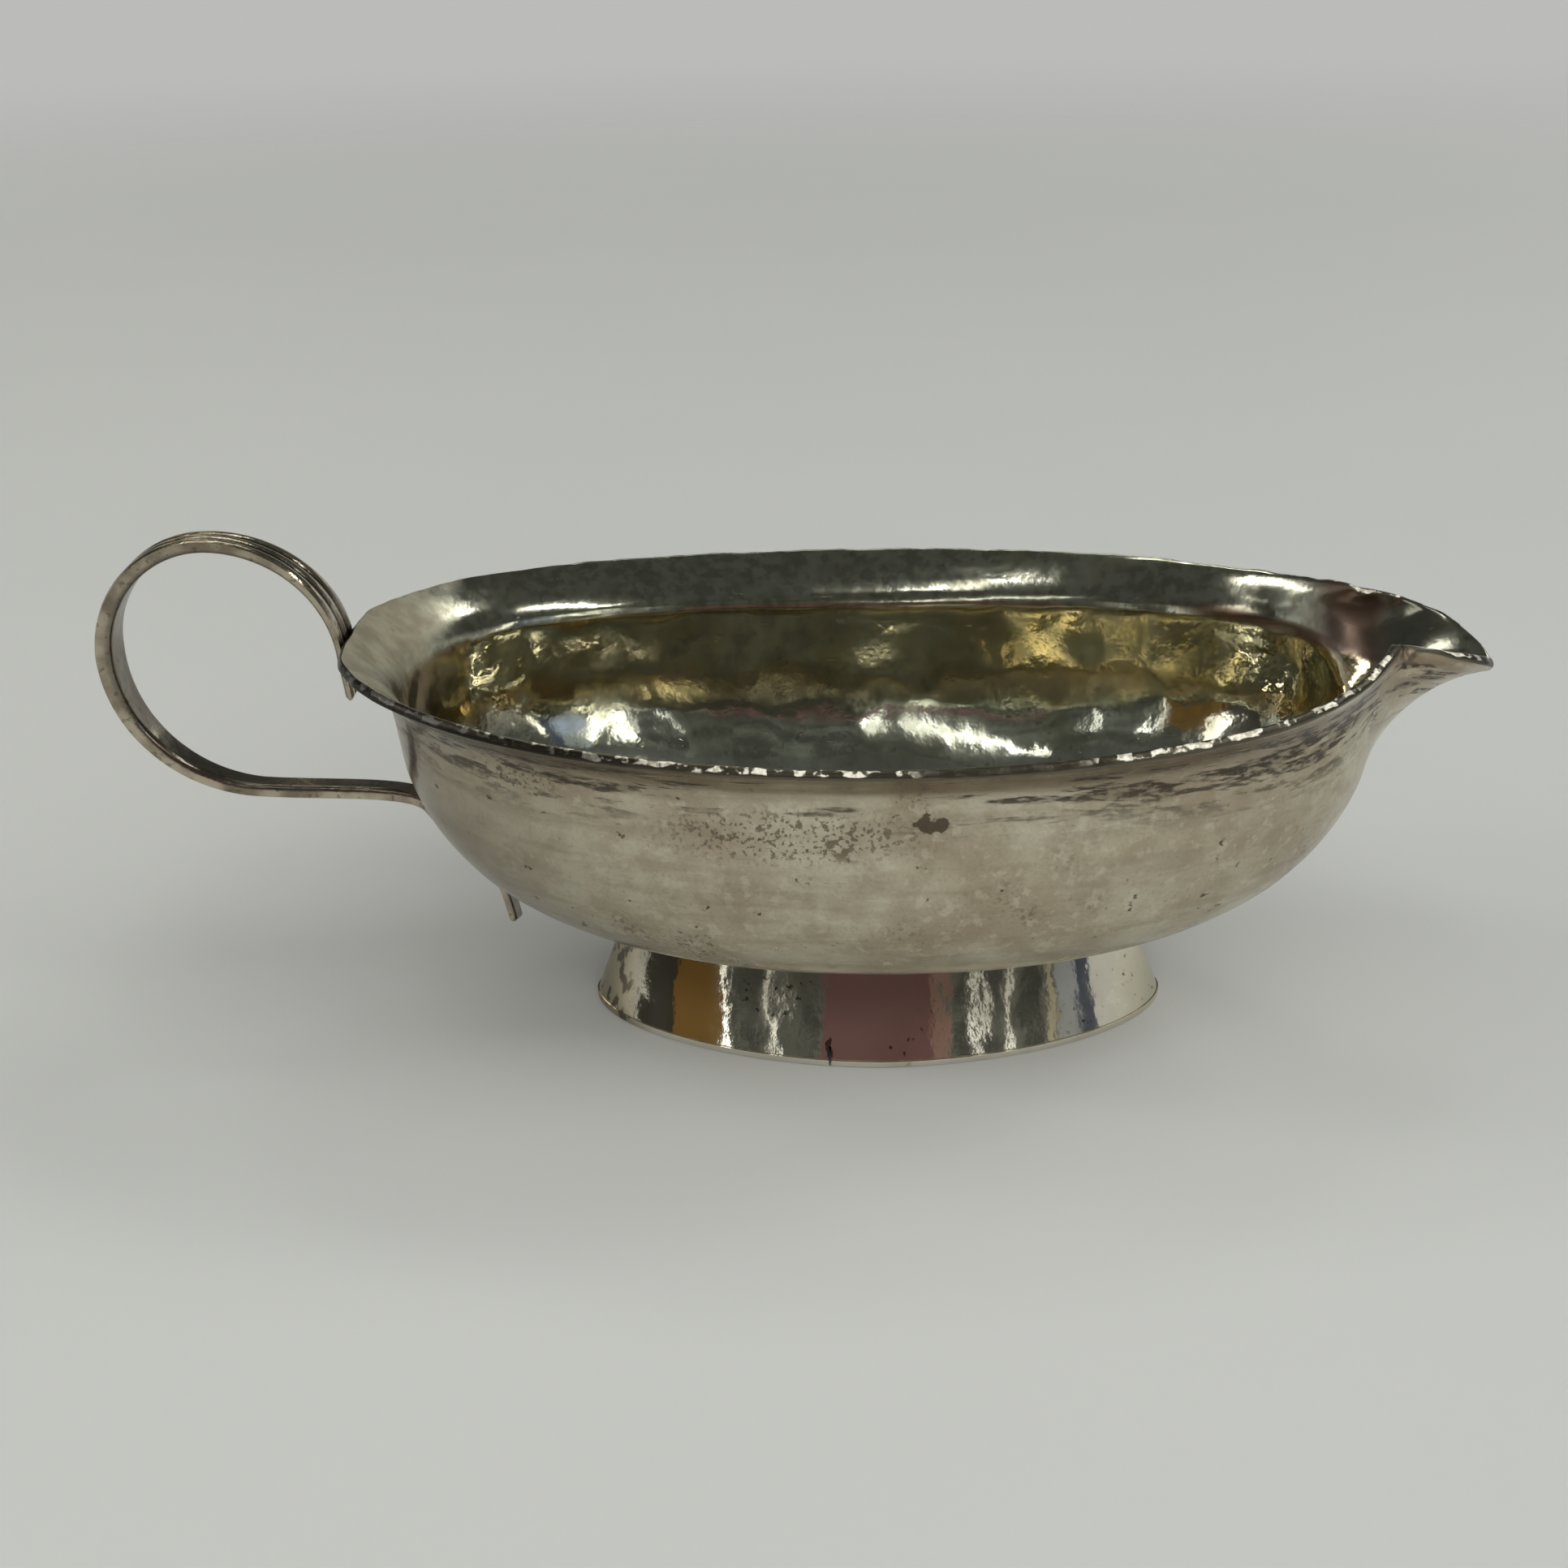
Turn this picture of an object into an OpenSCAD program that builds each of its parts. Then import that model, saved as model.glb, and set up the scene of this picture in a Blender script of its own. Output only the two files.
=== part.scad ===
// Pap boat: a small oval feeding cup of silver, with a flared lip, a beak, a strap handle and a band foot.
// The origin is the middle of the foot's base, +X points to the beak and +Z up.

/* [Lip] */
// Length of the lip oval, without the beak
lip_l = 118; // [106:0.2:132]
// Width of the lip oval
lip_w = 72.8; // [64:0.2:84]
// Height of the lip over the table at mid length
lip_z = 42; // [37:0.2:52]
// Rise of the lip toward its two ends
lip_sheer = 1.9; // [0:0.1:4]
// Squareness of the lip oval, where 2 is an ellipse
lip_n = 2.05; // [1.95:0.05:2.4]
// How far the lip oval sits back from the middle of the foot, toward the handle
lip_back = 0.5; // [-2:0.1:2]
// Dent of the lip where the strap meets it
lip_dent = 1.1; // [0:0.1:2]
// Extra thickness of the lip's edge
lip_extra = 0.2; // [0:0.05:0.6]

/* [Flare] */
// Reach of the flare past the wall at the ends
flare_end = 4.7; // [3.6:0.1:6]
// Reach of the flare past the wall at the sides
flare_side = 5.4; // [3:0.1:8]
// Height of the flare
flare_h = 5; // [4:0.1:8]
// Softness of the bend from wall to flare
flare_bend = 0.25; // [0.15:0.01:0.5]

/* [Bowl] */
// How far the wall oval sits ahead of the middle of the foot, toward the beak
wall_ahead = 0.7; // [-1.5:0.1:2]
// Squareness of the wall oval
wall_n = 2.2; // [2:0.05:2.5]
// Height of the underside of the bowl over the table
belly_z = 10.1; // [7:0.1:14]
// Flatness of the floor
floor_n = 3.8; // [2.8:0.1:5]
// Roundness of the turn from floor to wall
turn_n = 2.2; // [1.8:0.05:2.8]
// Thickness of the raised sheet
sheet_t = 0.9; // [0.7:0.05:1.6]

/* [Beak] */
// Width of the beak between its shoulders
beak_w = 19.6; // [14:0.2:24]
// How far the lip is drawn in at each shoulder
beak_waist = 2.9; // [0:0.1:4]
// Reach of the beak's tip past the end of the lip oval
beak_reach = 8.8; // [6:0.1:12]
// Height of the tip under the end of the lip oval
beak_drop = 4.4; // [2:0.1:7]
// Rise of the shoulders over the lip
beak_rise = 2.1; // [0:0.1:3]
// Depth of the trough's root under the top of the wall
beak_dip = 8.5; // [5:0.1:12]
// Softness of the bend into the trough
beak_bend = 0.45; // [0.3:0.01:0.6]

/* [Foot] */
// Length of the foot's base
foot_l = 65.8; // [58:0.2:74]
// Width of the foot's base
foot_w = 36.6; // [32:0.2:42]
// Squareness of the foot's oval, where less than 2 is a pointed one
foot_n = 1.8; // [1.7:0.05:2]
// How far the band leans in from its base to its top
foot_splay = 4.2; // [3:0.1:7]
// Thickness of the band
foot_t = 1; // [0.7:0.05:1.6]
// Share of the band's height that its thick base edge takes
foot_edge = 0.08; // [0.04:0.01:0.2]
// How far the base edge stands proud of the band
foot_edge_t = 0.2; // [0.1:0.05:0.5]
// Width of the band's butt seam
seam_gap = 0.3; // [0.2:0.05:0.6]
// Place of the seam along the near side
seam_x = -5.5; // [-8:0.5:8]
// Height to which the seam has opened
seam_open = 1.6; // [0.5:0.1:3]
// Leg of the solder fillet on the bowl
fillet_leg = 0.9; // [0.5:0.05:1.5]

/* [Handle] */
// Reach of the loop's back from the end of the lip
loop_out = 26.9; // [22:0.1:34]
// Reach of the loop's top from the end of the lip
loop_crown = 15; // [12:0.1:18]
// Height of the loop's top over the lip
loop_up = 11.6; // [7:0.1:15]
// Depth of the loop's back under the lip
loop_back = 0.8; // [0:0.1:4]
// Depth of the lower run under the lip
loop_run = 17.4; // [16:0.1:19]
// Reach of the lower run's start from the end of the lip
run_reach = 11.2; // [9:0.1:13]
// Width of the strap at the crown
strap_w = 4.2; // [3:0.1:5]
// Width of the strap at the back of the loop
strap_back_w = 5.6; // [3.6:0.1:7]
// Width of the strap where it crosses the lip
strap_lip_w = 7; // [5:0.1:8]
// Width of the strap along the lower run
strap_run_w = 3; // [2.4:0.1:4]
// Thickness of the strap at the crown and along the lower run
strap_t = 1.55; // [1.2:0.05:2]
// Thickness of the strap at the back of the loop
strap_back_t = 2; // [1.4:0.05:2.4]
// Thickness of the strap at its flattened ends
strap_end_t = 1; // [0.8:0.05:1.4]
// Number of reeds on the outer face
reeds = 3; // [2:1:4]
// Depth of the grooves between the reeds
reed_d = 0.22; // [0.1:0.02:0.3]
// Length of the tongue under the lip
tongue_l = 6.2; // [5:0.1:9]
// Width of the tongue's end
tongue_w = 4.4; // [3:0.1:6]
// Lean of the tongue toward the bowl, in degrees
tongue_lean = 4; // [0:1:12]
// Drop of the tail under the place where it leaves the wall
tail_drop = 9.6; // [6:0.1:11]
// Run of the tail toward the foot
tail_run = 4.3; // [2:0.1:6]
// Width of the tail
tail_w = 3.6; // [2.6:0.1:5]
// Slant of the tail's cut end, as a rise over its width
tail_cut = 0.3; // [0:0.05:0.4]
// Clearance between the strap and the edge of the lip
lip_gap = 0.05; // [0.02:0.01:0.2]
// Thickness of the solder between the strap and the wall
wall_gap = 0.25; // [0.15:0.05:0.5]

/* [Hidden] */

// Columns round the bowl, and how many of them make the beak
cols = 96;
beak_cols = 16;
// Rows of the floor inside the foot, of the belly, of the flare and of the foot's wall
floor_rows = 3;
belly_rows = 11;
flare_rows = 6;
foot_rows = 6;
// Crowding of the belly's rows toward the floor
belly_crowd = 1.3;
// Belly rows between which the strap lies on the wall
seat_first = 4;
seat_last = 6;

// Shape of the beak in plan and in fall
nose_power = 0.76;
round_power = 1.2;
fall_power = 0.95;
// Angles over which the lip climbs and draws in to the beak's shoulder, and over which the dent runs out
rise_run = 33;
waist_run = 40;
dent_run = 16;
// Spread of the trough's root, in shoulder angles
root_spread = 1.25;
// Step in height coordinate for the direction of the wall
slope_step = 0.02;
// Power by which the foot leans in, and the widening of its section at the top
lean_power = 1.15;
lean_widen = 0.25;
// Share of the foot's height that the fillet covers
fillet_share = 0.1;
// Depth by which the foot is cut flat at the table
foot_cut = 1;
// Distance from the middle at which the floor's pole is taken
pole_step = 0.001;
// Headings of the strap along the lower run and at the tail's end
run_heading = -4;
tail_heading = -78;
// Lead of a strap curve as a share of its span, and the shorter lead with which it lands on the wall
strap_ease = 0.39;
seat_lead = 3;
// Depth under the lip's edge at which the strap runs straight
lip_cross = 1;
// Half width and corner height of the strap's flat face, in widths and thicknesses
flat_half = 0.46;
corner_high = 0.3;
// Points along a short, a long and a tail span of the strap, and across its reeds
short_pts = 4;
long_pts = 12;
tail_pts = 9;
reed_pts = 12;

wall_a = lip_l / 2 - flare_end;
wall_b = lip_w / 2 - flare_side;
wall_z = lip_z - flare_h;
wall_h = wall_z - belly_z;
shoulder_t = asin(pow((beak_w + 2 * beak_waist) / lip_w, lip_n / 2));

function spow(v, e) = sign(v) * pow(abs(v), e);
function unit(v) = v / norm(v);
function mean(pts) = [for (p = pts) 1 / len(pts)] * pts;
function reverse(list) = [for (k = [len(list) - 1:-1:0]) list[k]];
function flat(lists) = [for (l = lists) for (p = l) p];

// A point of an oval, where n is its squareness
function oval(a, b, n, t) = [a * spow(cos(t), 2 / n), b * spow(sin(t), 2 / n)];

// Angle of a column, with the beak's columns set closer
function col_t(i) =
    let (side = beak_cols / 2, k = i > cols / 2 ? cols - i : i)
    let (t = k <= side ? k * shoulder_t / side
            : shoulder_t + (k - side) * (180 - shoulder_t) / (cols / 2 - side))
    i > cols / 2 ? 360 - t : t;

// Angle of a place away from the beak's middle
function off_beak(t) = t > 180 ? 360 - t : t;

// Edge of the lip: the oval with its sheer, and the beak between its shoulders
function lip_oval(t) =
    let (p = oval(lip_l / 2, lip_w / 2, lip_n, t))
    let (climb = pow(max(0, 1 - (off_beak(t) - shoulder_t) / rise_run), 2))
    let (waist = pow(max(0, 1 - (off_beak(t) - shoulder_t) / waist_run), 2))
    let (pinch = pow(max(0, 1 - pow((180 - off_beak(t)) / dent_run, 2)), 2))
    [p[0] - lip_back + lip_dent * pinch,
     p[1] - sign(p[1]) * beak_waist * waist,
     lip_z + lip_sheer * pow(2 * p[0] / lip_l, 2) + beak_rise * climb];

function beak_edge(t) =
    let (root = lip_oval(shoulder_t), u = 1 - off_beak(t) / shoulder_t)
    let (tip = [lip_l / 2 - lip_back + beak_reach, 0, lip_z + lip_sheer - beak_drop])
    [root[0] + (tip[0] - root[0]) * pow(sin(90 * u), nose_power),
     (t > 180 ? -1 : 1) * root[1] * pow(cos(90 * u), round_power),
     root[2] + (tip[2] - root[2]) * pow(u, fall_power)];

function lip_pt(t) = off_beak(t) < shoulder_t ? beak_edge(t) : lip_oval(t);

// Outside of the bowl under the flare: t goes round, and h runs from 1 at the floor to 0 at the wall's top
function wall_pt(t, h) =
    let (r = pow(1 - pow(h, turn_n), 1 / floor_n), p = oval(wall_a, wall_b, wall_n, t))
    [wall_ahead + r * p[0], r * p[1],
     wall_z - wall_h * h + lip_sheer * pow(p[0] / wall_a, 2) * pow(r, floor_n / 2)];

// The t and h of the outside at a place in plan, and the point itself
function wall_coord(x, y) =
    let (u = (x - wall_ahead) / wall_a, v = y / wall_b)
    let (r = pow(pow(abs(u), wall_n) + pow(abs(v), wall_n), 1 / wall_n))
    [atan2(spow(v / r, wall_n / 2), spow(u / r, wall_n / 2)), pow(1 - pow(r, floor_n), 1 / turn_n)];

function on_bowl(p) = let (c = wall_coord(p[0], p[1])) wall_pt(c[0], c[1]);

// Top of the wall, which dips at the root of the beak
function root_bump(t) =
    let (run = root_spread * shoulder_t)
    off_beak(t) < run ? pow(cos(90 * off_beak(t) / run), 2) : 0;

function wall_top(t) = beak_dip / wall_h * root_bump(t);

// The foot's oval, set in from its base
function foot_oval(inset, t) = oval(foot_l / 2 - inset, foot_w / 2 - inset, foot_n, t);

// The belly from the fillet's edge to the top of the wall
function belly_pt(t, w) =
    let (p = foot_oval(foot_splay - fillet_leg, t), c = wall_coord(p[0], p[1]))
    let (swing = (c[0] - t + 540) % 360 - 180)
    wall_pt(t + swing * (1 - w), c[1] + (wall_top(t) - c[1]) * w);

// The flare from the top of the wall to the lip, a curve that starts along the wall
function flare_pt(t, w) =
    let (a = wall_pt(t, wall_top(t)), c = lip_pt(t))
    let (up = unit(a - wall_pt(t, wall_top(t) + slope_step)))
    let (bend = flare_bend + (beak_bend - flare_bend) * root_bump(t))
    let (b = a + up * norm(c - a) * bend)
    a * pow(1 - w, 2) + b * 2 * w * (1 - w) + c * pow(w, 2);

// Inset of the band's two faces from its base oval, at a share f of its height
function lean(f) = foot_edge_t + (foot_splay - foot_edge_t) * pow(f, lean_power);
function lean_out(f) = lean((f - foot_edge) / (1 - foot_edge));
function lean_in(f) = lean(f) + foot_t * (1 + lean_widen * f);

// Rings of the bowl's outside, from the floor to the lip
function seat_ring(inset, share) =
    [for (i = [0:cols - 1]) on_bowl(share * foot_oval(inset, col_t(i)))];

outside = concat(
    [for (m = [1:floor_rows]) seat_ring(lean_in(1), m / floor_rows)],
    [seat_ring(foot_splay, 1), seat_ring(foot_splay - fillet_leg, 1)],
    [for (k = [1:belly_rows]) [for (i = [0:cols - 1]) belly_pt(col_t(i), pow(k / belly_rows, belly_crowd))]],
    [for (k = [1:flare_rows]) [for (i = [0:cols - 1]) flare_pt(col_t(i), k / flare_rows)]]
);
rows = len(outside);
first_belly = floor_rows + 2;
floor_pole = on_bowl([0, pole_step]);

// Inside of the bowl: the outside moved in by the sheet's thickness
function out_normal(j, i) =
    let (lo = outside[max(0, j - 1)], hi = outside[min(rows - 1, j + 1)], here = outside[j])
    unit(cross(here[(i + 1) % cols] - here[(i + cols - 1) % cols], hi[i] - lo[i]));

inside = [for (j = [0:rows - 1]) let (t = sheet_t + (j == rows - 1 ? lip_extra : 0))
    [for (i = [0:cols - 1]) outside[j][i] - t * out_normal(j, i)]];

// Faces between two rings of n points, with the diagonal either way
function band(a, b, n, swap) =
    [for (i = [0:n - 1]) let (k = (i + 1) % n)
        for (f = swap ? [[a + i, b + i, a + k], [a + k, b + i, b + k]]
                      : [[a + i, b + i, b + k], [a + i, b + k, a + k]]) f];

// A solid through a stack of rings, closed by a point at each end
module stack(rings, first, last) {
    n = len(rings[0]);
    m = len(rings);
    sides = [for (j = [0:m - 2]) each band(j * n, (j + 1) * n, n, false)];
    start = [for (i = [0:n - 1]) [n * m, i, (i + 1) % n]];
    end = [for (i = [0:n - 1]) [(m - 1) * n + i, n * m + 1, (m - 1) * n + (i + 1) % n]];
    polyhedron(concat(flat(rings), [first, last]), concat(start, sides, end), convexity = 6);
}

// A solid ring through a closed loop of rings, where swap marks the bands that lie on a neighbour
module hoop(rings, swap) {
    n = len(rings[0]);
    m = len(rings);
    sides = [for (j = [0:m - 1]) each band(j * n, (j + 1) % m * n, n, swap[j])];
    polyhedron(flat(rings), sides, convexity = 6);
}

// Rings of the foot band: a profile is made of [inset, share of height], where a share under 0 is cut off
outer_profile = concat(
    [[0, -1], [0, foot_edge]],
    [for (k = [0:foot_rows]) let (f = foot_edge + (1 - fillet_share - foot_edge) * k / foot_rows)
        [lean_out(f), f]],
    [[foot_splay, 1]]
);
inner_profile = concat([[lean_in(0), -1]], [for (k = [0:foot_rows]) let (f = k / foot_rows) [lean_in(f), f]]);

function band_ring(at, top_inset) =
    [for (i = [0:cols - 1])
        let (t = col_t(i), p = foot_oval(at[0], t), top = on_bowl(foot_oval(top_inset, t))[2])
        [p[0], p[1], at[1] < 0 ? -foot_cut : top * at[1]]];

function outer_ring(at) = band_ring(at, foot_splay);
function inner_ring(at) = band_ring(at, lean_in(1));

module foot_blank() {
    outer = [for (at = outer_profile) outer_ring(at)];
    inner = [for (at = reverse(inner_profile)) inner_ring(at)];
    seat = len(outer) - 1;
    hoop(concat(outer, inner), [for (j = [0:len(outer) + len(inner) - 1]) j == seat]);
}

module seam_slot(from_z) {
    translate([seam_x - seam_gap / 2, -foot_w / 2 - foot_t, from_z])
        cube([seam_gap, foot_w / 2, belly_z + foot_w]);
}

// Path of the strap in the upright mid-plane, as points [x, z, width, thickness]
lip_end = lip_pt(180);

function way(h) = [cos(h), sin(h)];
function bezier(a, b, c, d, w) =
    a * pow(1 - w, 3) + b * 3 * w * pow(1 - w, 2) + c * 3 * w * w * (1 - w) + d * pow(w, 3);

// Points from knot a to knot b, where a knot is [place, heading, width, thickness]
function ease(a, b) = strap_ease * norm(b[0] - a[0]);

function span(a, b, trail, n) =
    [for (k = [0:n - 1]) let (w = k / n)
        let (p = bezier(a[0], a[0] + ease(a, b) * way(a[1]), b[0] - trail * way(b[1]), b[0], w))
        [p[0], p[1], a[2] + (b[2] - a[2]) * w, a[3] + (b[3] - a[3]) * w]];

function even_span(a, b, n) = span(a, b, ease(a, b), n);

// The wall's profile at the handle, and the strap's middle line along it
function wall_line(k) = let (p = outside[first_belly + k - 1][cols / 2]) [p[0], p[2]];
function wall_side(k) = let (d = wall_line(k - 1) - wall_line(k + 1)) unit([d[1], -d[0]]);
function seat_share(k) = (seat_last - k) / (seat_last - seat_first);
function seat_w(k) = strap_run_w + (tail_w - strap_run_w) * seat_share(k);
function seat_t(k) = strap_t + (strap_end_t - strap_t) * seat_share(k);
function seat_mid(k) = wall_line(k) + wall_side(k) * (wall_gap + seat_t(k) / 2);
function seat_heading(k) = let (d = wall_line(k - 1) - wall_line(k + 1)) atan2(d[1], d[0]);

function seat_knot(k) = [seat_mid(k), seat_heading(k), seat_w(k), seat_t(k)];

// Inner face of the tongue at a height, where it just clears the edge of the lip
end_z = lip_end[2];
function tongue_face(z) = lip_end[0] - lip_gap + (end_z - z) * tan(tongue_lean);
function tongue_mid(z) = [tongue_face(z) - strap_end_t / 2 / cos(tongue_lean), z];

knot_tongue = [tongue_mid(end_z - tongue_l), 90 + tongue_lean, tongue_w, strap_end_t];
knot_lip = [tongue_mid(end_z - lip_cross), 90 + tongue_lean, strap_lip_w, strap_end_t];
knot_crown = [[lip_end[0] - loop_crown, end_z + loop_up], 180, strap_w, strap_t];
knot_back = [[lip_end[0] - loop_out, end_z - loop_back], 270, strap_back_w, strap_back_t];
knot_run = [[lip_end[0] - run_reach, end_z - loop_run], run_heading, strap_run_w, strap_t];
knot_leave = seat_knot(seat_first);
knot_tail = [knot_leave[0] + [tail_run, -tail_drop], tail_heading, tail_w, strap_end_t];

strap = concat(
    even_span(knot_tongue, knot_lip, short_pts),
    even_span(knot_lip, knot_crown, long_pts),
    even_span(knot_crown, knot_back, long_pts),
    even_span(knot_back, knot_run, long_pts),
    span(knot_run, seat_knot(seat_last), seat_lead, long_pts),
    [for (k = [seat_last:-1:seat_first + 1]) concat(seat_mid(k), [seat_w(k), seat_t(k)])],
    even_span(knot_leave, knot_tail, tail_pts),
    [concat(knot_tail[0], [knot_tail[2], knot_tail[3]])]
);

// Section of the strap: flat toward the loop, reeds outside
function strap_section(w, t) = concat(
    [[flat_half * w, t / 2], [-flat_half * w, t / 2], [-w / 2, corner_high * t]],
    [for (j = [0:reed_pts]) let (a = j / reed_pts)
        [(a - 1 / 2) * w, -t / 2 + reed_d * (1 - abs(sin(180 * reeds * a)))]],
    [[w / 2, corner_high * t]]
);

function strap_ring(j) =
    let (last = len(strap) - 1, a = strap[max(0, j - 1)], b = strap[min(last, j + 1)], p = strap[j])
    let (d = unit([b[0] - a[0], b[1] - a[1]]), cut = j == last ? tail_cut : 0)
    [for (q = strap_section(p[2], p[3])) let (along = cut * q[0])
        [p[0] - d[1] * q[1] + d[0] * along, q[0], p[1] + d[0] * q[1] + d[1] * along]];

function strap_mid(j) = [strap[j][0], 0, strap[j][1]];

// Columns of the bowl that the two strap joints cover
joint_cols = [cols / 2 - 1, cols / 2, cols / 2 + 1];

// A small block of solder: each ring runs along the bowl and back along the strap
module joint_block(rings) {
    stack(rings, mean(rings[0]), mean(rings[len(rings) - 1]));
}

module bowl() {
    color("silver")
        stack(concat(outside, reverse(inside)), floor_pole, floor_pole + [0, 0, sheet_t]);
}

module handle() {
    color("darkgray")
        stack([for (j = [0:len(strap) - 1]) strap_ring(j)], strap_mid(0), strap_mid(len(strap) - 1));
}

module foot_band() {
    color("gainsboro")
        difference() {
            foot_blank();
            translate([-foot_l, -foot_w, -2 * foot_cut])
                cube([2 * foot_l, 2 * foot_w, 2 * foot_cut]);
            seam_slot(-foot_cut);
        }
}

module foot_solder() {
    low = 1 - fillet_share;
    color("lightgray")
        hoop(
            [
                outer_ring([lean_out(low), low]),
                seat_ring(foot_splay - fillet_leg, 1),
                outer_ring([foot_splay, 1])
            ],
            [false, true, true]
        );
}

module foot_seam() {
    color("lightgray")
        intersection() {
            foot_blank();
            seam_slot(seam_open);
        }
}

module rim_solder() {
    color("gray")
        joint_block([for (j = [rows - 3:rows - 1]) concat(
            [for (i = reverse(joint_cols)) outside[j][i]],
            [for (i = joint_cols) let (p = outside[j][i]) [tongue_face(p[2]), p[1], p[2]]]
        )]);
}

module wall_solder() {
    color("gray")
        joint_block([for (k = [seat_first:seat_last]) let (j = first_belly + k - 1)
            let (face = wall_line(k) + wall_side(k) * wall_gap)
            concat(
                [for (i = reverse(joint_cols)) outside[j][i]],
                [for (y = [1, 0, -1]) [face[0], y * seat_w(k) / 2, face[1]]]
            )]);
}

bowl();
handle();
foot_band();
foot_solder();
foot_seam();
rim_solder();
wall_solder();
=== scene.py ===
"""Looks of the pap boat: a worn silver boat with a hammered bowl, a beak, a reeded strap and a band foot.

The boat's lengths are in millimetres until a mesh is made, and the studio's are in metres. The frame is the
CAD model's: the origin is the middle of the foot's base, +X points to the beak and +Z up.
"""

import math

import bpy
import numpy as np
from mathutils import Matrix, Vector, noise


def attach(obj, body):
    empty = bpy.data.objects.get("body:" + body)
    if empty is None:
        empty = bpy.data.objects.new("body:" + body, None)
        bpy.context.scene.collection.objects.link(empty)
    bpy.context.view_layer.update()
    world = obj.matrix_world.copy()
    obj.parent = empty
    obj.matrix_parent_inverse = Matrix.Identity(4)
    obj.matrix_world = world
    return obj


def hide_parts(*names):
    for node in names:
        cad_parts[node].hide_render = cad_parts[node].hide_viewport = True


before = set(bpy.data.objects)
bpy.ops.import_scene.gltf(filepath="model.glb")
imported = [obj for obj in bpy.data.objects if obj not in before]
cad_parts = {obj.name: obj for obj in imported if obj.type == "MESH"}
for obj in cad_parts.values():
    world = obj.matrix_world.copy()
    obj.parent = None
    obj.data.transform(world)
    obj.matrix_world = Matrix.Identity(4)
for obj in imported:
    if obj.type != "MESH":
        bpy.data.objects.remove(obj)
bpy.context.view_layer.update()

MM = 0.001

# Sizes of the CAD model that the detailed skins repeat
LIP_L, LIP_W, LIP_Z = 118.0, 72.8, 42.0
LIP_SHEER, LIP_N, LIP_BACK, LIP_DENT, LIP_EXTRA = 1.9, 2.05, 0.5, 1.1, 0.2
FLARE_END, FLARE_SIDE, FLARE_H, FLARE_BEND = 4.7, 5.4, 5.0, 0.25
WALL_AHEAD, WALL_N = 0.7, 2.2
BELLY_Z, FLOOR_N, TURN_N, SHEET_T = 10.1, 3.8, 2.2, 0.9
BEAK_W, BEAK_WAIST, BEAK_REACH, BEAK_DROP, BEAK_RISE = 19.6, 2.9, 8.8, 4.4, 2.1
BEAK_DIP, BEAK_BEND = 8.5, 0.45
NOSE_POWER, ROUND_POWER, FALL_POWER = 0.76, 1.2, 0.95
RISE_RUN, WAIST_RUN, DENT_RUN = math.radians(33), math.radians(40), math.radians(16)
ROOT_SPREAD, UP_STEP = 1.25, 0.02
FOOT_L, FOOT_W, FOOT_N, FOOT_SPLAY, FOOT_T = 65.8, 36.6, 1.8, 4.2, 1.0
FOOT_EDGE, FOOT_EDGE_T = 0.08, 0.2
LEAN_POWER, LEAN_WIDEN = 1.0, 0.25
SEAM_X, SEAM_GAP, SEAM_OPEN = -5.5, 0.3, 1.6
FILLET_LEG, FILLET_SHARE = 0.9, 0.1
LOOP_OUT, LOOP_CROWN, LOOP_UP, LOOP_BACK, LOOP_RUN, RUN_REACH = 26.9, 15.0, 11.6, 0.8, 17.4, 11.2
STRAP_W, STRAP_BACK_W, STRAP_LIP_W, STRAP_RUN_W = 4.2, 5.6, 7.0, 3.0
STRAP_T, STRAP_BACK_T, STRAP_END_T, REEDS, REED_D = 1.55, 2.0, 1.0, 3, 0.22
TONGUE_L, TONGUE_W, TONGUE_LEAN = 6.2, 4.4, 4
TAIL_DROP, TAIL_RUN, TAIL_W, TAIL_CUT = 9.6, 4.3, 3.6, 0.3
RUN_HEADING, TAIL_HEADING, STRAP_EASE, SEAT_LEAD, LIP_CROSS = -4, -78, 0.39, 3.0, 1.0
LIP_GAP, WALL_GAP = 0.05, 0.25
SEAT_FIRST, SEAT_LAST, BELLY_ROWS, BELLY_CROWD = 4, 6, 11, 1.3

WALL_A, WALL_B = LIP_L / 2 - FLARE_END, LIP_W / 2 - FLARE_SIDE
WALL_Z = LIP_Z - FLARE_H
WALL_H = WALL_Z - BELLY_Z
SHOULDER = math.asin(((BEAK_W + 2 * BEAK_WAIST) / LIP_W) ** (LIP_N / 2))


# Small helpers

def spow(v, e):
    return np.sign(v) * np.abs(v) ** e


def unit(v):
    return v / np.linalg.norm(v, axis=-1, keepdims=True)


def smooth(v, low, high):
    """0 below low, 1 above high and an even S between them."""
    s = np.clip((v - low) / (high - low), 0, 1)
    return s * s * (3 - 2 * s)


def each(pts, f):
    """f of every point of an array of points, as an array of numbers."""
    flat = [f(Vector(p)) for p in pts.reshape(-1, 3)]
    return np.array(flat).reshape(pts.shape[:-1])


def waves(pts, depth, width, seed):
    """Soft irregular waves, up to about depth both ways."""
    shift = Vector((seed * 7.3, seed * 3.1, seed * 5.7))
    return depth * each(pts, lambda p: noise.noise(p / width + shift))


def planish(pts, depth, width, seed):
    """Shallow hammer facets: 0 at a blow's middle and about depth at its border."""
    shift = Vector((seed * 2.9, seed * 8.3, seed * 4.1))
    return depth * each(pts, lambda p: noise.voronoi(p / width + shift)[0][0] ** 2)


# Surface of the bowl, by the same formulas as the solids

def oval(a, b, n, t):
    return a * spow(np.cos(t), 2 / n), b * spow(np.sin(t), 2 / n)


def off_beak(t):
    return np.where(t > math.pi, 2 * math.pi - t, t)


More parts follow.
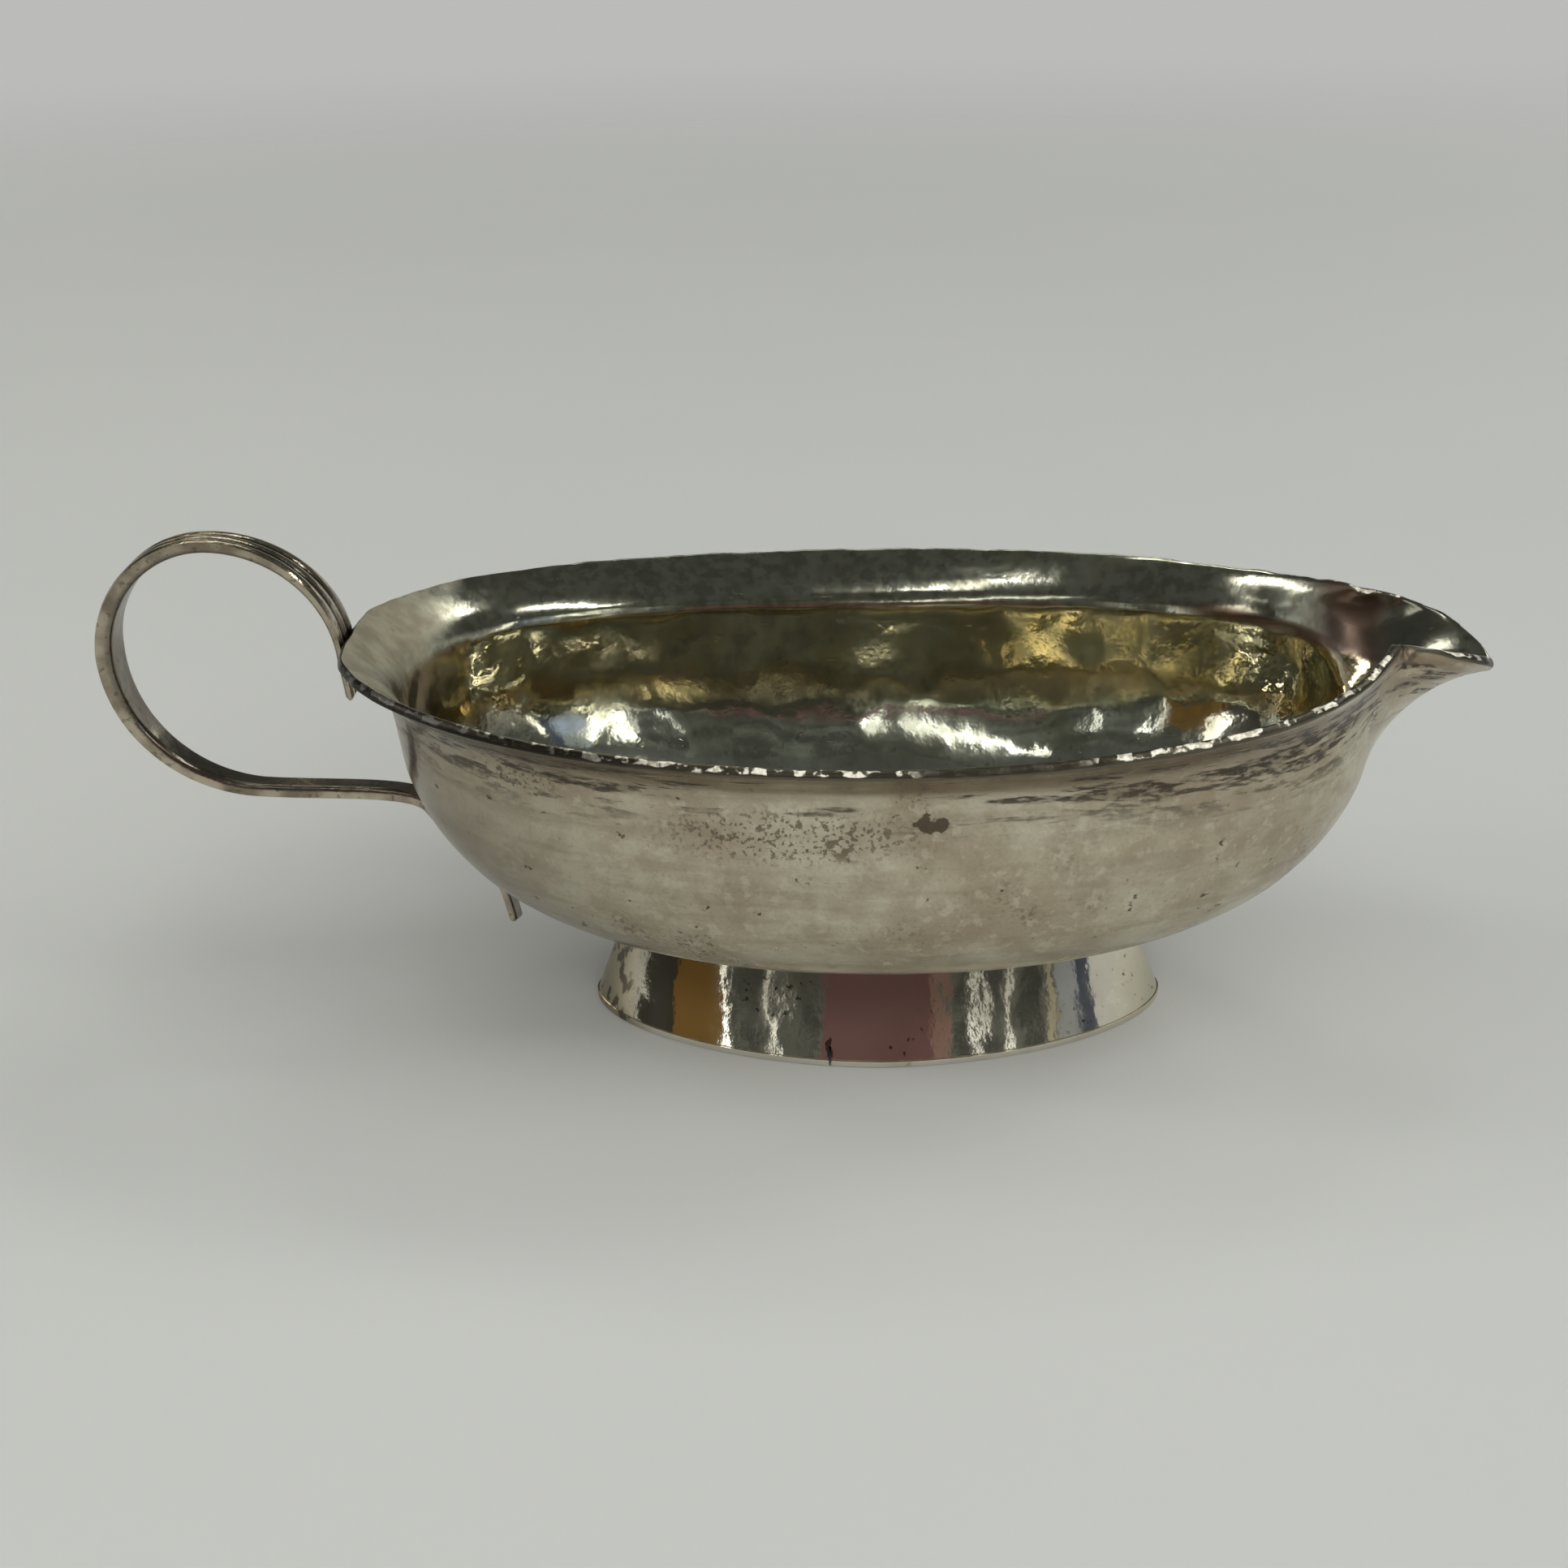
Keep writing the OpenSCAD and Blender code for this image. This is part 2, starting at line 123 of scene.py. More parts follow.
def lip_oval(t):
    x, y = oval(LIP_L / 2, LIP_W / 2, LIP_N, t)
    climb = np.maximum(0, 1 - (off_beak(t) - SHOULDER) / RISE_RUN) ** 2
    waist = np.maximum(0, 1 - (off_beak(t) - SHOULDER) / WAIST_RUN) ** 2
    pinch = np.maximum(0, 1 - ((math.pi - off_beak(t)) / DENT_RUN) ** 2) ** 2
    z = LIP_Z + LIP_SHEER * (2 * x / LIP_L) ** 2 + BEAK_RISE * climb
    return np.stack([x - LIP_BACK + LIP_DENT * pinch, y - np.sign(y) * BEAK_WAIST * waist, z], -1)


def beak_edge(t):
    root = lip_oval(np.array(SHOULDER))
    tip = np.array([LIP_L / 2 - LIP_BACK + BEAK_REACH, 0, LIP_Z + LIP_SHEER - BEAK_DROP])
    u = np.clip(1 - off_beak(t) / SHOULDER, 0, 1)
    quarter = u * math.pi / 2
    x = root[0] + (tip[0] - root[0]) * np.sin(quarter) ** NOSE_POWER
    y = np.where(t > math.pi, -1, 1) * root[1] * np.abs(np.cos(quarter)) ** ROUND_POWER
    z = root[2] + (tip[2] - root[2]) * u ** FALL_POWER
    return np.stack([x, y, z], -1)


def lip_pt(t):
    return np.where((off_beak(t) < SHOULDER)[..., None], beak_edge(t), lip_oval(t))


def wall_pt(t, h):
    r = (1 - h ** TURN_N) ** (1 / FLOOR_N)
    x, y = oval(WALL_A, WALL_B, WALL_N, t)
    z = WALL_Z - WALL_H * h + LIP_SHEER * (x / WALL_A) ** 2 * r ** (FLOOR_N / 2)
    return np.stack([WALL_AHEAD + r * x, r * y, z], -1)


def wall_coord(x, y):
    u, v = (x - WALL_AHEAD) / WALL_A, y / WALL_B
    r = (np.abs(u) ** WALL_N + np.abs(v) ** WALL_N) ** (1 / WALL_N)
    t = np.arctan2(spow(v / r, WALL_N / 2), spow(u / r, WALL_N / 2))
    return t, (1 - r ** FLOOR_N) ** (1 / TURN_N)


def on_bowl(x, y):
    return wall_pt(*wall_coord(x, y))


def root_bump(t):
    share = np.minimum(1, off_beak(t) / (ROOT_SPREAD * SHOULDER))
    return np.cos(share * math.pi / 2) ** 2


def wall_top(t):
    return BEAK_DIP / WALL_H * root_bump(t)


def foot_oval(inset, t):
    return oval(FOOT_L / 2 - inset, FOOT_W / 2 - inset, FOOT_N, t)


def belly_pt(t, w):
    turn, low = wall_coord(*foot_oval(FOOT_SPLAY - FILLET_LEG, t))
    swing = (turn - t + 3 * math.pi) % (2 * math.pi) - math.pi
    return wall_pt(t + swing * (1 - w), low + (wall_top(t) - low) * w)


def flare_pt(t, w):
    a, c = wall_pt(t, wall_top(t)), lip_pt(t)
    up = unit(a - wall_pt(t, wall_top(t) + UP_STEP))
    bend = FLARE_BEND + (BEAK_BEND - FLARE_BEND) * root_bump(t)
    b = a + up * (np.linalg.norm(c - a, axis=-1) * bend)[..., None]
    return a * (1 - w) ** 2 + b * 2 * w * (1 - w) + c * w ** 2


def lean(f):
    return FOOT_EDGE_T + (FOOT_SPLAY - FOOT_EDGE_T) * f ** LEAN_POWER


def lean_out(f):
    return lean((f - FOOT_EDGE) / (1 - FOOT_EDGE))


def lean_in(f):
    return lean(f) + FOOT_T * (1 + LEAN_WIDEN * f)


# Meshes

def grid_faces(rows, cols, closed_cols, closed_rows):
    """Quads of a grid of points whose rows or columns may run round."""
    faces = []
    for j in range(rows if closed_rows else rows - 1):
        below, above = j * cols, (j + 1) % rows * cols
        for i in range(cols if closed_cols else cols - 1):
            k = (i + 1) % cols
            faces.append((below + i, below + k, above + k, above + i))
    return faces


def sleeve_faces(rows, cols):
    """Faces of rings that run round, with a face at each end."""
    faces = grid_faces(rows, cols, True, False)
    faces.append(tuple(range(cols))[::-1])
    faces.append(tuple((rows - 1) * cols + i for i in range(cols)))
    return faces


def link(name, data):
    made = bpy.data.objects.new(name, data)
    bpy.context.scene.collection.objects.link(made)
    return made


def make_piece(name, points, faces, materials, sharp=None):
    """A smooth mesh piece in metres that stands for the CAD node of its name and rides with the boat."""
    mesh = bpy.data.meshes.new(name)
    mesh.from_pydata((np.asarray(points) * MM).tolist(), [], faces)
    mesh.validate()
    mesh.shade_smooth()
    if sharp:
        mesh.set_sharp_from_angle(angle=math.radians(sharp))
    for material in materials:
        mesh.materials.append(material)
    piece = link(name, mesh)
    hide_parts(name)
    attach(piece, "root")
    return piece


def mark(piece, name, values):
    """Keeps a number or a vector per vertex for the materials to read."""
    values = np.asarray(values, np.float32)
    kind, field = ("FLOAT", "value") if values.ndim == 1 else ("FLOAT_VECTOR", "vector")
    attribute = piece.data.attributes.new(name, kind, "POINT")
    attribute.data.foreach_set(field, values.ravel())


# Materials: a short language for shader nodes

SIDE_SHIFT = 0.02
RAGGED_LUMP = 1.6
PATCH_CORE = 0.35
SCRATCH_STRETCH = (0.12, 6, 6)


class Paint:
    """A node tree under way, with the few node kinds that the silver needs."""

    def __init__(self, name):
        self.material = bpy.data.materials.new(name)
        self.material.use_nodes = True
        self.tree = self.material.node_tree
        self.bsdf = self.tree.nodes["Principled BSDF"]
        self.place = self.add("ShaderNodeTexCoord").outputs["Object"]

    def add(self, kind, inputs=None, **settings):
        made = self.tree.nodes.new(kind)
        for key, value in settings.items():
            setattr(made, key, value)
        for key, value in (inputs or {}).items():
            self.put(made.inputs[key], value)
        return made

    def put(self, socket, value):
        if isinstance(value, bpy.types.NodeSocket):
            self.tree.links.new(value, socket)
        elif socket.type == "RGBA":
            socket.default_value = (*value, 1.0)
        else:
            socket.default_value = value

    def mark(self, name):
        return self.add("ShaderNodeAttribute", attribute_name=name).outputs["Fac"]

    def axis(self, letter):
        return self.add("ShaderNodeSeparateXYZ", {"Vector": self.place}).outputs[letter]

    def along(self, letter, low, high, *to):
        """A share that eases in along an axis, from low to high in millimetres."""
        return self.step(self.axis(letter), low * MM, high * MM, *to)

    def stretch(self, scale, turn=(0, 0, 0)):
        """Object coordinates, turned and stretched."""
        return self.add("ShaderNodeMapping", {
            "Vector": self.place, "Rotation": [math.radians(a) for a in turn], "Scale": scale,
        }).outputs["Vector"]

    def noise(self, size, detail=3.0, vector=None):
        """Noise between 0 and 1 whose lumps are about size millimetres wide."""
        return self.add("ShaderNodeTexNoise", {
            "Vector": vector or self.place, "Scale": 1 / (size * MM), "Detail": detail,
        }).outputs["Fac"]

    def drawn(self, length, down, detail=3.0):
        """Noise whose lumps run along the lip: their length and their depth in millimetres."""
        flow = self.add("ShaderNodeAttribute", attribute_name="flow").outputs["Vector"]
        scale = (1 / length, 1 / down, SIDE_SHIFT)
        vector = self.add("ShaderNodeMapping", {"Vector": flow, "Scale": scale})
        return self.add("ShaderNodeTexNoise", {
            "Vector": vector.outputs["Vector"], "Scale": 1.0, "Detail": detail,
        }).outputs["Fac"]

    def vector(self, how, *values):
        return self.add("ShaderNodeVectorMath", dict(enumerate(values)), operation=how).outputs

    def patch(self, at, reach, ragged=0.0):
        """1 in a soft oval patch: its place, its reach each way and how ragged it is, in millimetres."""
        off = self.vector("SUBTRACT", self.place, [c * MM for c in at])["Vector"]
        if ragged:
            lumps = self.add("ShaderNodeTexNoise", {
                "Vector": self.place, "Scale": 1 / (RAGGED_LUMP * MM), "Detail": 5.0,
            }).outputs["Color"]
            shift = self.vector("MULTIPLY_ADD", lumps, [2 * ragged * MM] * 3, [-ragged * MM] * 3)
            off = self.vector("ADD", off, shift["Vector"])["Vector"]
        near = self.vector("DIVIDE", off, [r * MM for r in reach])["Vector"]
        return self.step(self.vector("LENGTH", near)["Value"], 1.0, PATCH_CORE)

    def scratches(self, turn, share):
        """1 in fine scratches that run one way, turned about the three axes."""
        return self.step(self.noise(2, 2, self.stretch(SCRATCH_STRETCH, turn)), 1 - share, 1.04 - share)

    def step(self, value, low, high, to_low=0.0, to_high=1.0):
        """value from low to high, eased to to_low and to_high."""
        return self.add("ShaderNodeMapRange", {
            "Value": value, "From Min": low, "From Max": high, "To Min": to_low, "To Max": to_high,
        }, interpolation_type="SMOOTHSTEP").outputs["Result"]

    def math(self, how, a, b):
        made = self.add("ShaderNodeMath", operation=how)
        self.put(made.inputs[0], a)
        self.put(made.inputs[1], b)
        return made.outputs["Value"]

    def times(self, a, b):
        return self.math("MULTIPLY", a, b)

    def plus(self, a, b):
        return self.math("ADD", a, b)

    def minus(self, a, b):
        return self.math("SUBTRACT", a, b)

    def most(self, a, b):
        return self.math("MAXIMUM", a, b)

    def mix(self, share, a, b):
        """Colour a turning into colour b as share goes from 0 to 1."""
        made = self.add("ShaderNodeMix", data_type="RGBA")
        self.put(made.inputs["Factor"], share)
        for socket, value in zip([s for s in made.inputs if s.type == "RGBA"], (a, b)):
            self.put(socket, value)
        return next(s for s in made.outputs if s.type == "RGBA")

    def tint(self, colour, share, amount, with_colour):
        """A colour turned by an amount toward another, where share is 1."""
        return self.mix(self.times(share, amount), colour, with_colour)

    def bump(self, height, depth):
        """A normal raised by height, where depth is in millimetres."""
        return self.add("ShaderNodeBump", {
            "Height": height, "Strength": 1.0, "Distance": depth * MM,
        }).outputs["Normal"]

    def finish(self, colour, roughness, normal, metal=1.0):
        self.put(self.bsdf.inputs["Base Color"], colour)
        self.put(self.bsdf.inputs["Metallic"], metal)
        self.put(self.bsdf.inputs["Roughness"], roughness)
        self.put(self.bsdf.inputs["Normal"], normal)
        return self.material


# Outside of the bowl

SATIN_PALE, SATIN_WARM = (0.635, 0.59, 0.455), (0.46, 0.395, 0.285)
SATIN_BLOTCH, SATIN_RUBBED = (0.39, 0.325, 0.23), (0.75, 0.705, 0.56)
SATIN_BRUSHED, SATIN_GRAIN = (0.36, 0.305, 0.22), (0.27, 0.23, 0.165)
# The second colour is painted shade toward the handle end.
LIP_FILM, HANDLE_END_SHADE = (0.30, 0.235, 0.165), (0.25, 0.215, 0.16)
STREAK_DARK, PIT_DARK = (0.075, 0.062, 0.05), (0.12, 0.093, 0.06)
STAIN_DARK, SCRATCH_DARK = (0.095, 0.07, 0.05), (0.20, 0.17, 0.125)


def satin_ground(p, cloud, brush, grain):
    """Colour of the clean satin: warm clouds, blotches, rubbed spots, brush marks and grain."""
    colour = p.mix(p.step(cloud, 0.36, 0.66), SATIN_PALE, SATIN_WARM)
    colour = p.mix(p.step(p.noise(3.4, 7), 0.42, 0.66, 0, 0.5), colour, SATIN_BLOTCH)
    colour = p.mix(p.step(p.noise(1.5, 5), 0.52, 0.66, 0, 0.45), colour, SATIN_RUBBED)
    colour = p.mix(p.step(brush, 0.46, 0.68, 0, 0.45), colour, SATIN_BRUSHED)
    return p.mix(p.step(grain, 0.46, 0.72, 0, 0.22), colour, SATIN_GRAIN)


def lip_streaks(p):
    """Dark streaks drawn along the lip, more of them toward the ends and thickest by the beak."""
    below = p.mark("below")
    ends = p.most(p.along("X", 0, 30), p.along("X", -12, -30))
    reach = p.times(p.step(below, 1.0, 2.0), p.step(below, 13, 6))
    by_beak = p.patch((41.5, -22, 38), (8, 7, 3.4))
    thick = p.plus(p.drawn(8, 1.2, 7), p.times(by_beak, 0.13))
    drawn = p.step(thick, p.step(ends, 0, 1, 0.60, 0.50), p.step(ends, 0, 1, 0.68, 0.57))
    frayed = p.step(p.drawn(1.6, 0.5, 4), 0.36, 0.58, 0.25, 1)
    return p.times(p.times(drawn, frayed), reach)


def worn_pits(p):
    """Fine and coarse pits, in two worn areas of the near side and here and there elsewhere."""
    worn = p.most(p.patch((-9, -30, 33.5), (19, 9, 4.5)), p.patch((-37, -23, 38), (8, 8, 3.5)))
    worn = p.most(worn, p.step(p.noise(13, 2), 0.58, 0.74))
    pit = p.most(p.step(p.noise(0.5, 5), 0.55, 0.63), p.step(p.noise(1.2, 6), 0.58, 0.64))
    return p.times(pit, worn)


def lone_stains(p):
    """One ragged stain on the near side, a dark line by the handle and a few small spots."""
    stain = p.step(p.patch((5.2, -31, 35), (2.6, 5, 1.6), 1.7), 0.3, 0.65)
    line = p.step(p.patch((-50, -12.5, 36), (0.8, 4, 6), 0.5), 0.2, 0.8)
    return p.most(p.most(stain, line), p.step(p.noise(1.4, 5), 0.67, 0.73))


def worn_silver():
    """Outside of the bowl: satin silver gone warm, pitted and scratched, with dark streaks under the lip and
    painted shade toward the handle end.
    """
    p = Paint("silver_outside")
    cloud, brush, grain = p.noise(12, 5), p.drawn(14, 2.0, 6), p.noise(0.4, 3)
    colour = satin_ground(p, cloud, brush, grain)
    film = p.times(p.step(p.mark("below"), 9, 1, 0, 0.95), p.step(brush, 0.32, 0.54))
    colour = p.mix(film, colour, LIP_FILM)
    # Painted shade: the outside grows darker toward the handle end.
    colour = p.mix(p.along("X", -18, -52, 0, 0.72), colour, HANDLE_END_SHADE)
    streak, pit = lip_streaks(p), worn_pits(p)
    scratch = p.most(p.scratches((0, 30, 0), 0.24), p.scratches((0, -52, 12), 0.24))
    colour = p.tint(colour, streak, 0.95, STREAK_DARK)
    colour = p.tint(colour, pit, 0.75, PIT_DARK)
    colour = p.tint(colour, lone_stains(p), 0.9, STAIN_DARK)
    colour = p.tint(colour, scratch, 0.3, SCRATCH_DARK)
    rough = p.plus(p.step(cloud, 0.3, 0.75, 0.20, 0.30), p.times(streak, 0.1))
    hollow = p.minus(p.times(grain, 0.2), p.most(pit, scratch))
    return p.finish(colour, rough, p.bump(hollow, 0.018))


# Inside of the bowl

WELL_BRIGHT, WELL_DIM = (0.86, 0.89, 0.79), (0.60, 0.61, 0.50)
# The gilt colours are partly tarnish film and partly painted warm reflection.
GILT_PALE, GILT_DEEP = (0.72, 0.64, 0.44), (0.56, 0.46, 0.27)
FLANGE_GREY, MOTTLE_DARK, FLANGE_GRIME = (0.52, 0.53, 0.43), (0.32, 0.31, 0.23), (0.24, 0.24, 0.18)
# The two rose colours are painted dark reflection.
ROOT_ROSE_REFLECTION, POCKET_ROSE_REFLECTION, TROUGH_SHADE_GREY = (0.16, 0.105, 0.085), (0.15, 0.10, 0.08), (0.22, 0.22, 0.185)
MATTE_PALE, MATTE_DEEP = (0.30, 0.275, 0.185), (0.21, 0.185, 0.12)
TAWNY_PALE, TAWNY_DEEP = (0.36, 0.27, 0.15), (0.25, 0.19, 0.11)
SPECK_DARK = (0.18, 0.16, 0.12)


def on_flange(p):
    """1 on the flange, but not in the low saddle before the beak, where the gilt runs on."""
    saddle = p.times(p.along("X", 43, 47), p.along("Z", 39.4, 38.2))
    return p.minus(p.step(p.mark("rise"), 0.98, 1.2), saddle)


def beak_root(p):
    """1 in the fold where the flange turns into the beak, which carries a painted dark rose reflection."""
    fold = p.times(p.along("X", 34, 42), p.along("Z", 40.4, 39.5))
    root = p.most(fold, p.along("X", 49.5, 52.5))
    root = p.times(p.times(root, p.along("X", 58.5, 56)), p.along("Z", 37.8, 38.8))
    return p.times(root, p.step(p.mark("rise"), 0.9, 1.0))


def inside_ground(p, cloud, mottle, flange):
    """Colour of the well and the flange: bright low down, gilt higher up and grey on the flange; the gilt is
    partly tarnish film and partly painted warm reflection.
    """
    rise = p.mark("rise")
    low = p.mix(p.step(cloud, 0.38, 0.64), WELL_BRIGHT, WELL_DIM)
    gilt = p.mix(p.step(cloud, 0.35, 0.7), GILT_PALE, GILT_DEEP)
    colour = p.mix(p.step(rise, 0.52, 0.72), low, gilt)
    colour = p.mix(flange, colour, FLANGE_GREY)
    depth = p.times(p.step(mottle, 0.40, 0.66), p.step(rise, 0.3, 0.7, 0.4, 0.65))
    colour = p.mix(depth, colour, MOTTLE_DARK)
    grime = p.times(p.step(p.noise(1.4, 6), 0.44, 0.62, 0, 0.55), flange)
    return p.mix(grime, colour, FLANGE_GRIME)


def inside_normal(p):
    """Fine unevenness and scratches, with stronger hammer marks in the well at both ends."""
    height = p.minus(p.noise(2.6, 3), p.times(p.scratches((0, 0, 24), 0.26), 0.2))
    both_ends = p.plus(p.along("X", 26, 50), p.along("X", -36, -44))
    hammered = p.times(both_ends, p.along("Z", 39.4, 38.2, 0, 1.5))
    return p.bump(p.plus(height, p.times(p.noise(2.1, 2), hammered)), 0.04)


def bright_silver():
    """Inside of the bowl: polished and hammered, gilded high in the well by a tarnish film and a painted
    warm reflection, dull by the handle.
    """
    p = Paint("silver_inside")
    cloud, mottle = p.noise(11, 4), p.noise(3.2, 5)
    flange, root, pocket = on_flange(p), beak_root(p), p.patch((55, 10, 44), (5, 5, 3))
    trough = p.times(p.along("X", 56, 58.5), p.along("X", 65.5, 62.5))
    colour = inside_ground(p, cloud, mottle, flange)
    # Painted dark rose reflection in the beak's fold and in a pocket on its far shoulder.
    colour = p.tint(colour, root, 0.9, ROOT_ROSE_REFLECTION)
    colour = p.tint(colour, pocket, 0.9, POCKET_ROSE_REFLECTION)
    # Painted shade: the beak's trough is turned toward dark grey.
    colour = p.tint(colour, trough, 0.7, TROUGH_SHADE_GREY)

    uneven = p.plus(p.axis("X"), p.times(p.noise(8, 5), 16 * MM))
    dull = p.times(p.step(uneven, -39.5 * MM, -47.5 * MM), flange)
    matte = p.mix(p.step(mottle, 0.35, 0.65), MATTE_PALE, MATTE_DEEP)
    colour = p.tint(colour, dull, 0.85, matte)
    tawny = p.times(p.patch((-50, -3, 36.5), (9, 19, 7)), p.step(mottle, 0.62, 0.40, 0.35, 1))
    tawny = p.times(tawny, p.step(p.mark("rise"), 1.15, 1.0))
    colour = p.tint(colour, tawny, 0.8, p.mix(cloud, TAWNY_PALE, TAWNY_DEEP))
    colour = p.tint(colour, p.step(p.noise(1.2, 4), 0.62, 0.70), 0.35, SPECK_DARK)

    satin = p.plus(p.step(mottle, 0.35, 0.7, 0.07, 0.13), p.times(flange, 0.04))
    satin = p.plus(satin, p.plus(p.times(root, 0.10), p.times(pocket, 0.30)))
    dull = p.plus(dull, p.times(tawny, 0.6))
    rough = p.plus(satin, p.times(dull, 0.32))
    return p.finish(colour, rough, inside_normal(p), p.step(dull, 0, 1, 1, 0.45))


# Edge of the lip

# The two bright colours are painted highlights and the black one is painted shade.
EDGE_GLINT, EDGE_GLINT_SOFT = (0.84, 0.80, 0.67), (0.46, 0.42, 0.33)
EDGE_DARK, EDGE_SHADE_BLACK = (0.15, 0.135, 0.10), (0.03, 0.027, 0.022)


def edge_silver():
    """Edge of the lip: painted highlights in short lengths and dark between them, with painted shade under
    the edge, darkest by the handle.
    """
    p = Paint("silver_edge")
    across = p.mark("across")
    length = p.plus(p.drawn(3.2, 1.0, 5), p.noise(1.1, 4))
    height = p.plus(across, p.times(p.noise(1.9, 3), 0.7))
    inside = p.times(p.step(height, 0.68, 0.78), p.step(height, 1.20, 1.08))
    middle = p.times(p.along("X", 1, 5), p.along("X", 23, 18))
    # Painted highlights: short bright lengths on the edge's inner side, few of them just beak-ward of the
    # middle, made less metallic so that the soft lamps light them.
    painted_glint = p.times(p.step(length, 0.97, 1.06), inside)
    painted_glint = p.times(painted_glint, p.step(middle, 0, 1, 1, 0.12))
    rubbed_and_glint = p.mix(p.step(p.noise(0.6, 4), 0.42, 0.60), EDGE_GLINT, EDGE_GLINT_SOFT)
    colour = p.mix(painted_glint, EDGE_DARK, rubbed_and_glint)
    ends = p.most(p.along("X", -14, -34), p.along("X", 62, 66))
    # Painted shade: black on the edge's outer side toward both ends, and over the whole edge by the handle.
    under_shade = p.times(p.step(across, 0.85, 0.6), ends)
    under_shade = p.most(under_shade, p.along("X", -36, -47))
    colour = p.tint(colour, under_shade, 0.95, EDGE_SHADE_BLACK)
    return p.finish(colour, 0.36, p.bump(p.noise(0.9, 3), 0.08), p.step(painted_glint, 0, 1, 1, 0.3))


# Handle, foot and joints

STRAP_PALE, STRAP_DEEP = (0.52, 0.46, 0.35), (0.25, 0.21, 0.155)
GROOVE_DARK, REED_BRIGHT = (0.07, 0.06, 0.045), (0.66, 0.62, 0.53)
STRAP_INSIDE_SHADE, STRAP_SPECK = (0.19, 0.17, 0.14), (0.11, 0.095, 0.07)
# The dusky colour and the left end's brown are painted shade, the right end's cream is painted light.
FOOT_BRIGHT, FOOT_CLOUD, FOOT_SHADE = (0.78, 0.75, 0.65), (0.66, 0.61, 0.495), (0.28, 0.255, 0.20)
FOOT_LEFT_SHADE, FOOT_RIGHT_LIGHT, FOOT_SPOT = (0.33, 0.285, 0.19), (0.75, 0.69, 0.54), (0.06, 0.05, 0.04)
SOLDER_PALE, SOLDER_DEEP = (0.64, 0.59, 0.46), (0.40, 0.35, 0.26)


def strap_silver():
    """Handle: tarnished silver, dark in the grooves, with painted shade on the inner face, rubbed bright
    along the reeds.
    """
    p = Paint("silver_handle")
    reed, cloud = p.mark("reed"), p.noise(4.5, 5)
    colour = p.mix(p.step(cloud, 0.36, 0.64), STRAP_PALE, STRAP_DEEP)
    colour = p.mix(p.step(reed, 0.6, 0.1), colour, GROOVE_DARK)
    colour = p.mix(p.step(reed, 0.86, 1.0, 0, 0.35), colour, REED_BRIGHT)
    # Painted shade: the inner face of the strap is darkened.
    colour = p.mix(p.step(p.mark("inner"), 0.2, 0.9, 0, 0.8), colour, STRAP_INSIDE_SHADE)
    colour = p.tint(colour, p.step(p.noise(0.8, 4), 0.58, 0.66), 0.6, STRAP_SPECK)
    rough = p.step(cloud, 0.3, 0.7, 0.14, 0.28)
    return p.finish(colour, rough, p.bump(p.noise(1.8, 4), 0.09))


def foot_spots(p, left):
    """Specks here and there, larger spots at the left end and a smudge by the open seam."""
    speck = p.times(p.step(p.noise(0.8, 3), 0.63, 0.70), p.step(p.noise(9, 2), 0.5, 0.65))
    spot = p.times(p.step(p.noise(1.7, 5, p.stretch((1, 1, 0.6))), 0.55, 0.62), left)
    smudge = p.step(p.patch((SEAM_X - 0.1, -18, 2.0), (0.6, 4, 1.6), 1.0), 0.4, 0.7)
    return p.most(p.most(speck, spot), smudge)


def foot_silver():
    """Foot: the best kept silver, bright, with painted shade under the bowl and at the left end, painted
    light at the right end, upright planishing lines and specks.
    """
    p = Paint("silver_foot")
    cloud = p.noise(9, 4)
    colour = p.mix(p.step(cloud, 0.4, 0.75), FOOT_BRIGHT, FOOT_CLOUD)
    # Painted shade: the band darkens toward the bowl, but not at its right end.
    under_bowl_shade = p.times(p.along("Z", 2.5, 8.5, 0, 0.55), p.along("X", 26, 18))
    colour = p.mix(under_bowl_shade, colour, FOOT_SHADE)
    # Painted shade: the left end is turned darker brown.
    left = p.along("X", -24.5, -29.5)
    colour = p.tint(colour, left, 0.85, FOOT_LEFT_SHADE)
    # Painted light: the right end is turned pale cream.
    colour = p.mix(p.along("X", 22, 30, 0, 0.7), colour, FOOT_RIGHT_LIGHT)
    colour = p.tint(colour, foot_spots(p, left), 0.8, FOOT_SPOT)
    rough = p.step(cloud, 0.3, 0.75, 0.05, 0.11)
    height = p.plus(p.noise(2.2, 3, p.stretch((1, 1, 0.3))), p.times(p.noise(1.2, 3), 0.8))
    return p.finish(colour, rough, p.bump(height, 0.022))


def dull_solder():
    """Joints: pale warm solder with a grainy skin."""
    p = Paint("solder")
    cloud = p.noise(1.6, 4)
    colour = p.mix(p.step(cloud, 0.4, 0.75), SOLDER_PALE, SOLDER_DEEP)
    return p.finish(colour, p.step(cloud, 0.3, 0.7, 0.25, 0.4), p.bump(cloud, 0.05))


# Bowl

COLS, BEAK_COLS = 448, 72
FLOOR_STEPS, BELLY_STEPS, FLARE_STEPS, EDGE_STEPS = 14, 56, 34, 8
EASE_TURNS, HANDLE_END, SHOULDER_EASE = 90, math.radians(50), math.radians(14)
CREASE_EASE, OUTER_EASE = 0.35, 0.6
EDGE_BULGE, EDGE_FULLNESS = 0.35, 0.6
POLE_OFF = 0.001
OUTSIDE, INSIDE, EDGE = 0, 1, 2

# Hammer marks and nicks: depth and width
FACETS_OUT, WAVES_OUT = (0.09, 7), (0.05, 15)
RIPPLES_IN, FACETS_IN, WAVES_IN, FLANGE_SHARE = (0.09, 6), (0.12, 5.5), (0.08, 17), 0.3
NICKS_LONG, NICKS_SHORT = (0.22, 11), (0.12, 2.6)

# Unevenness of the lip's edge: share of its bulge, and width
EDGE_SWELL, EDGE_TILT = (0.5, 2), (0.35, 3.2)


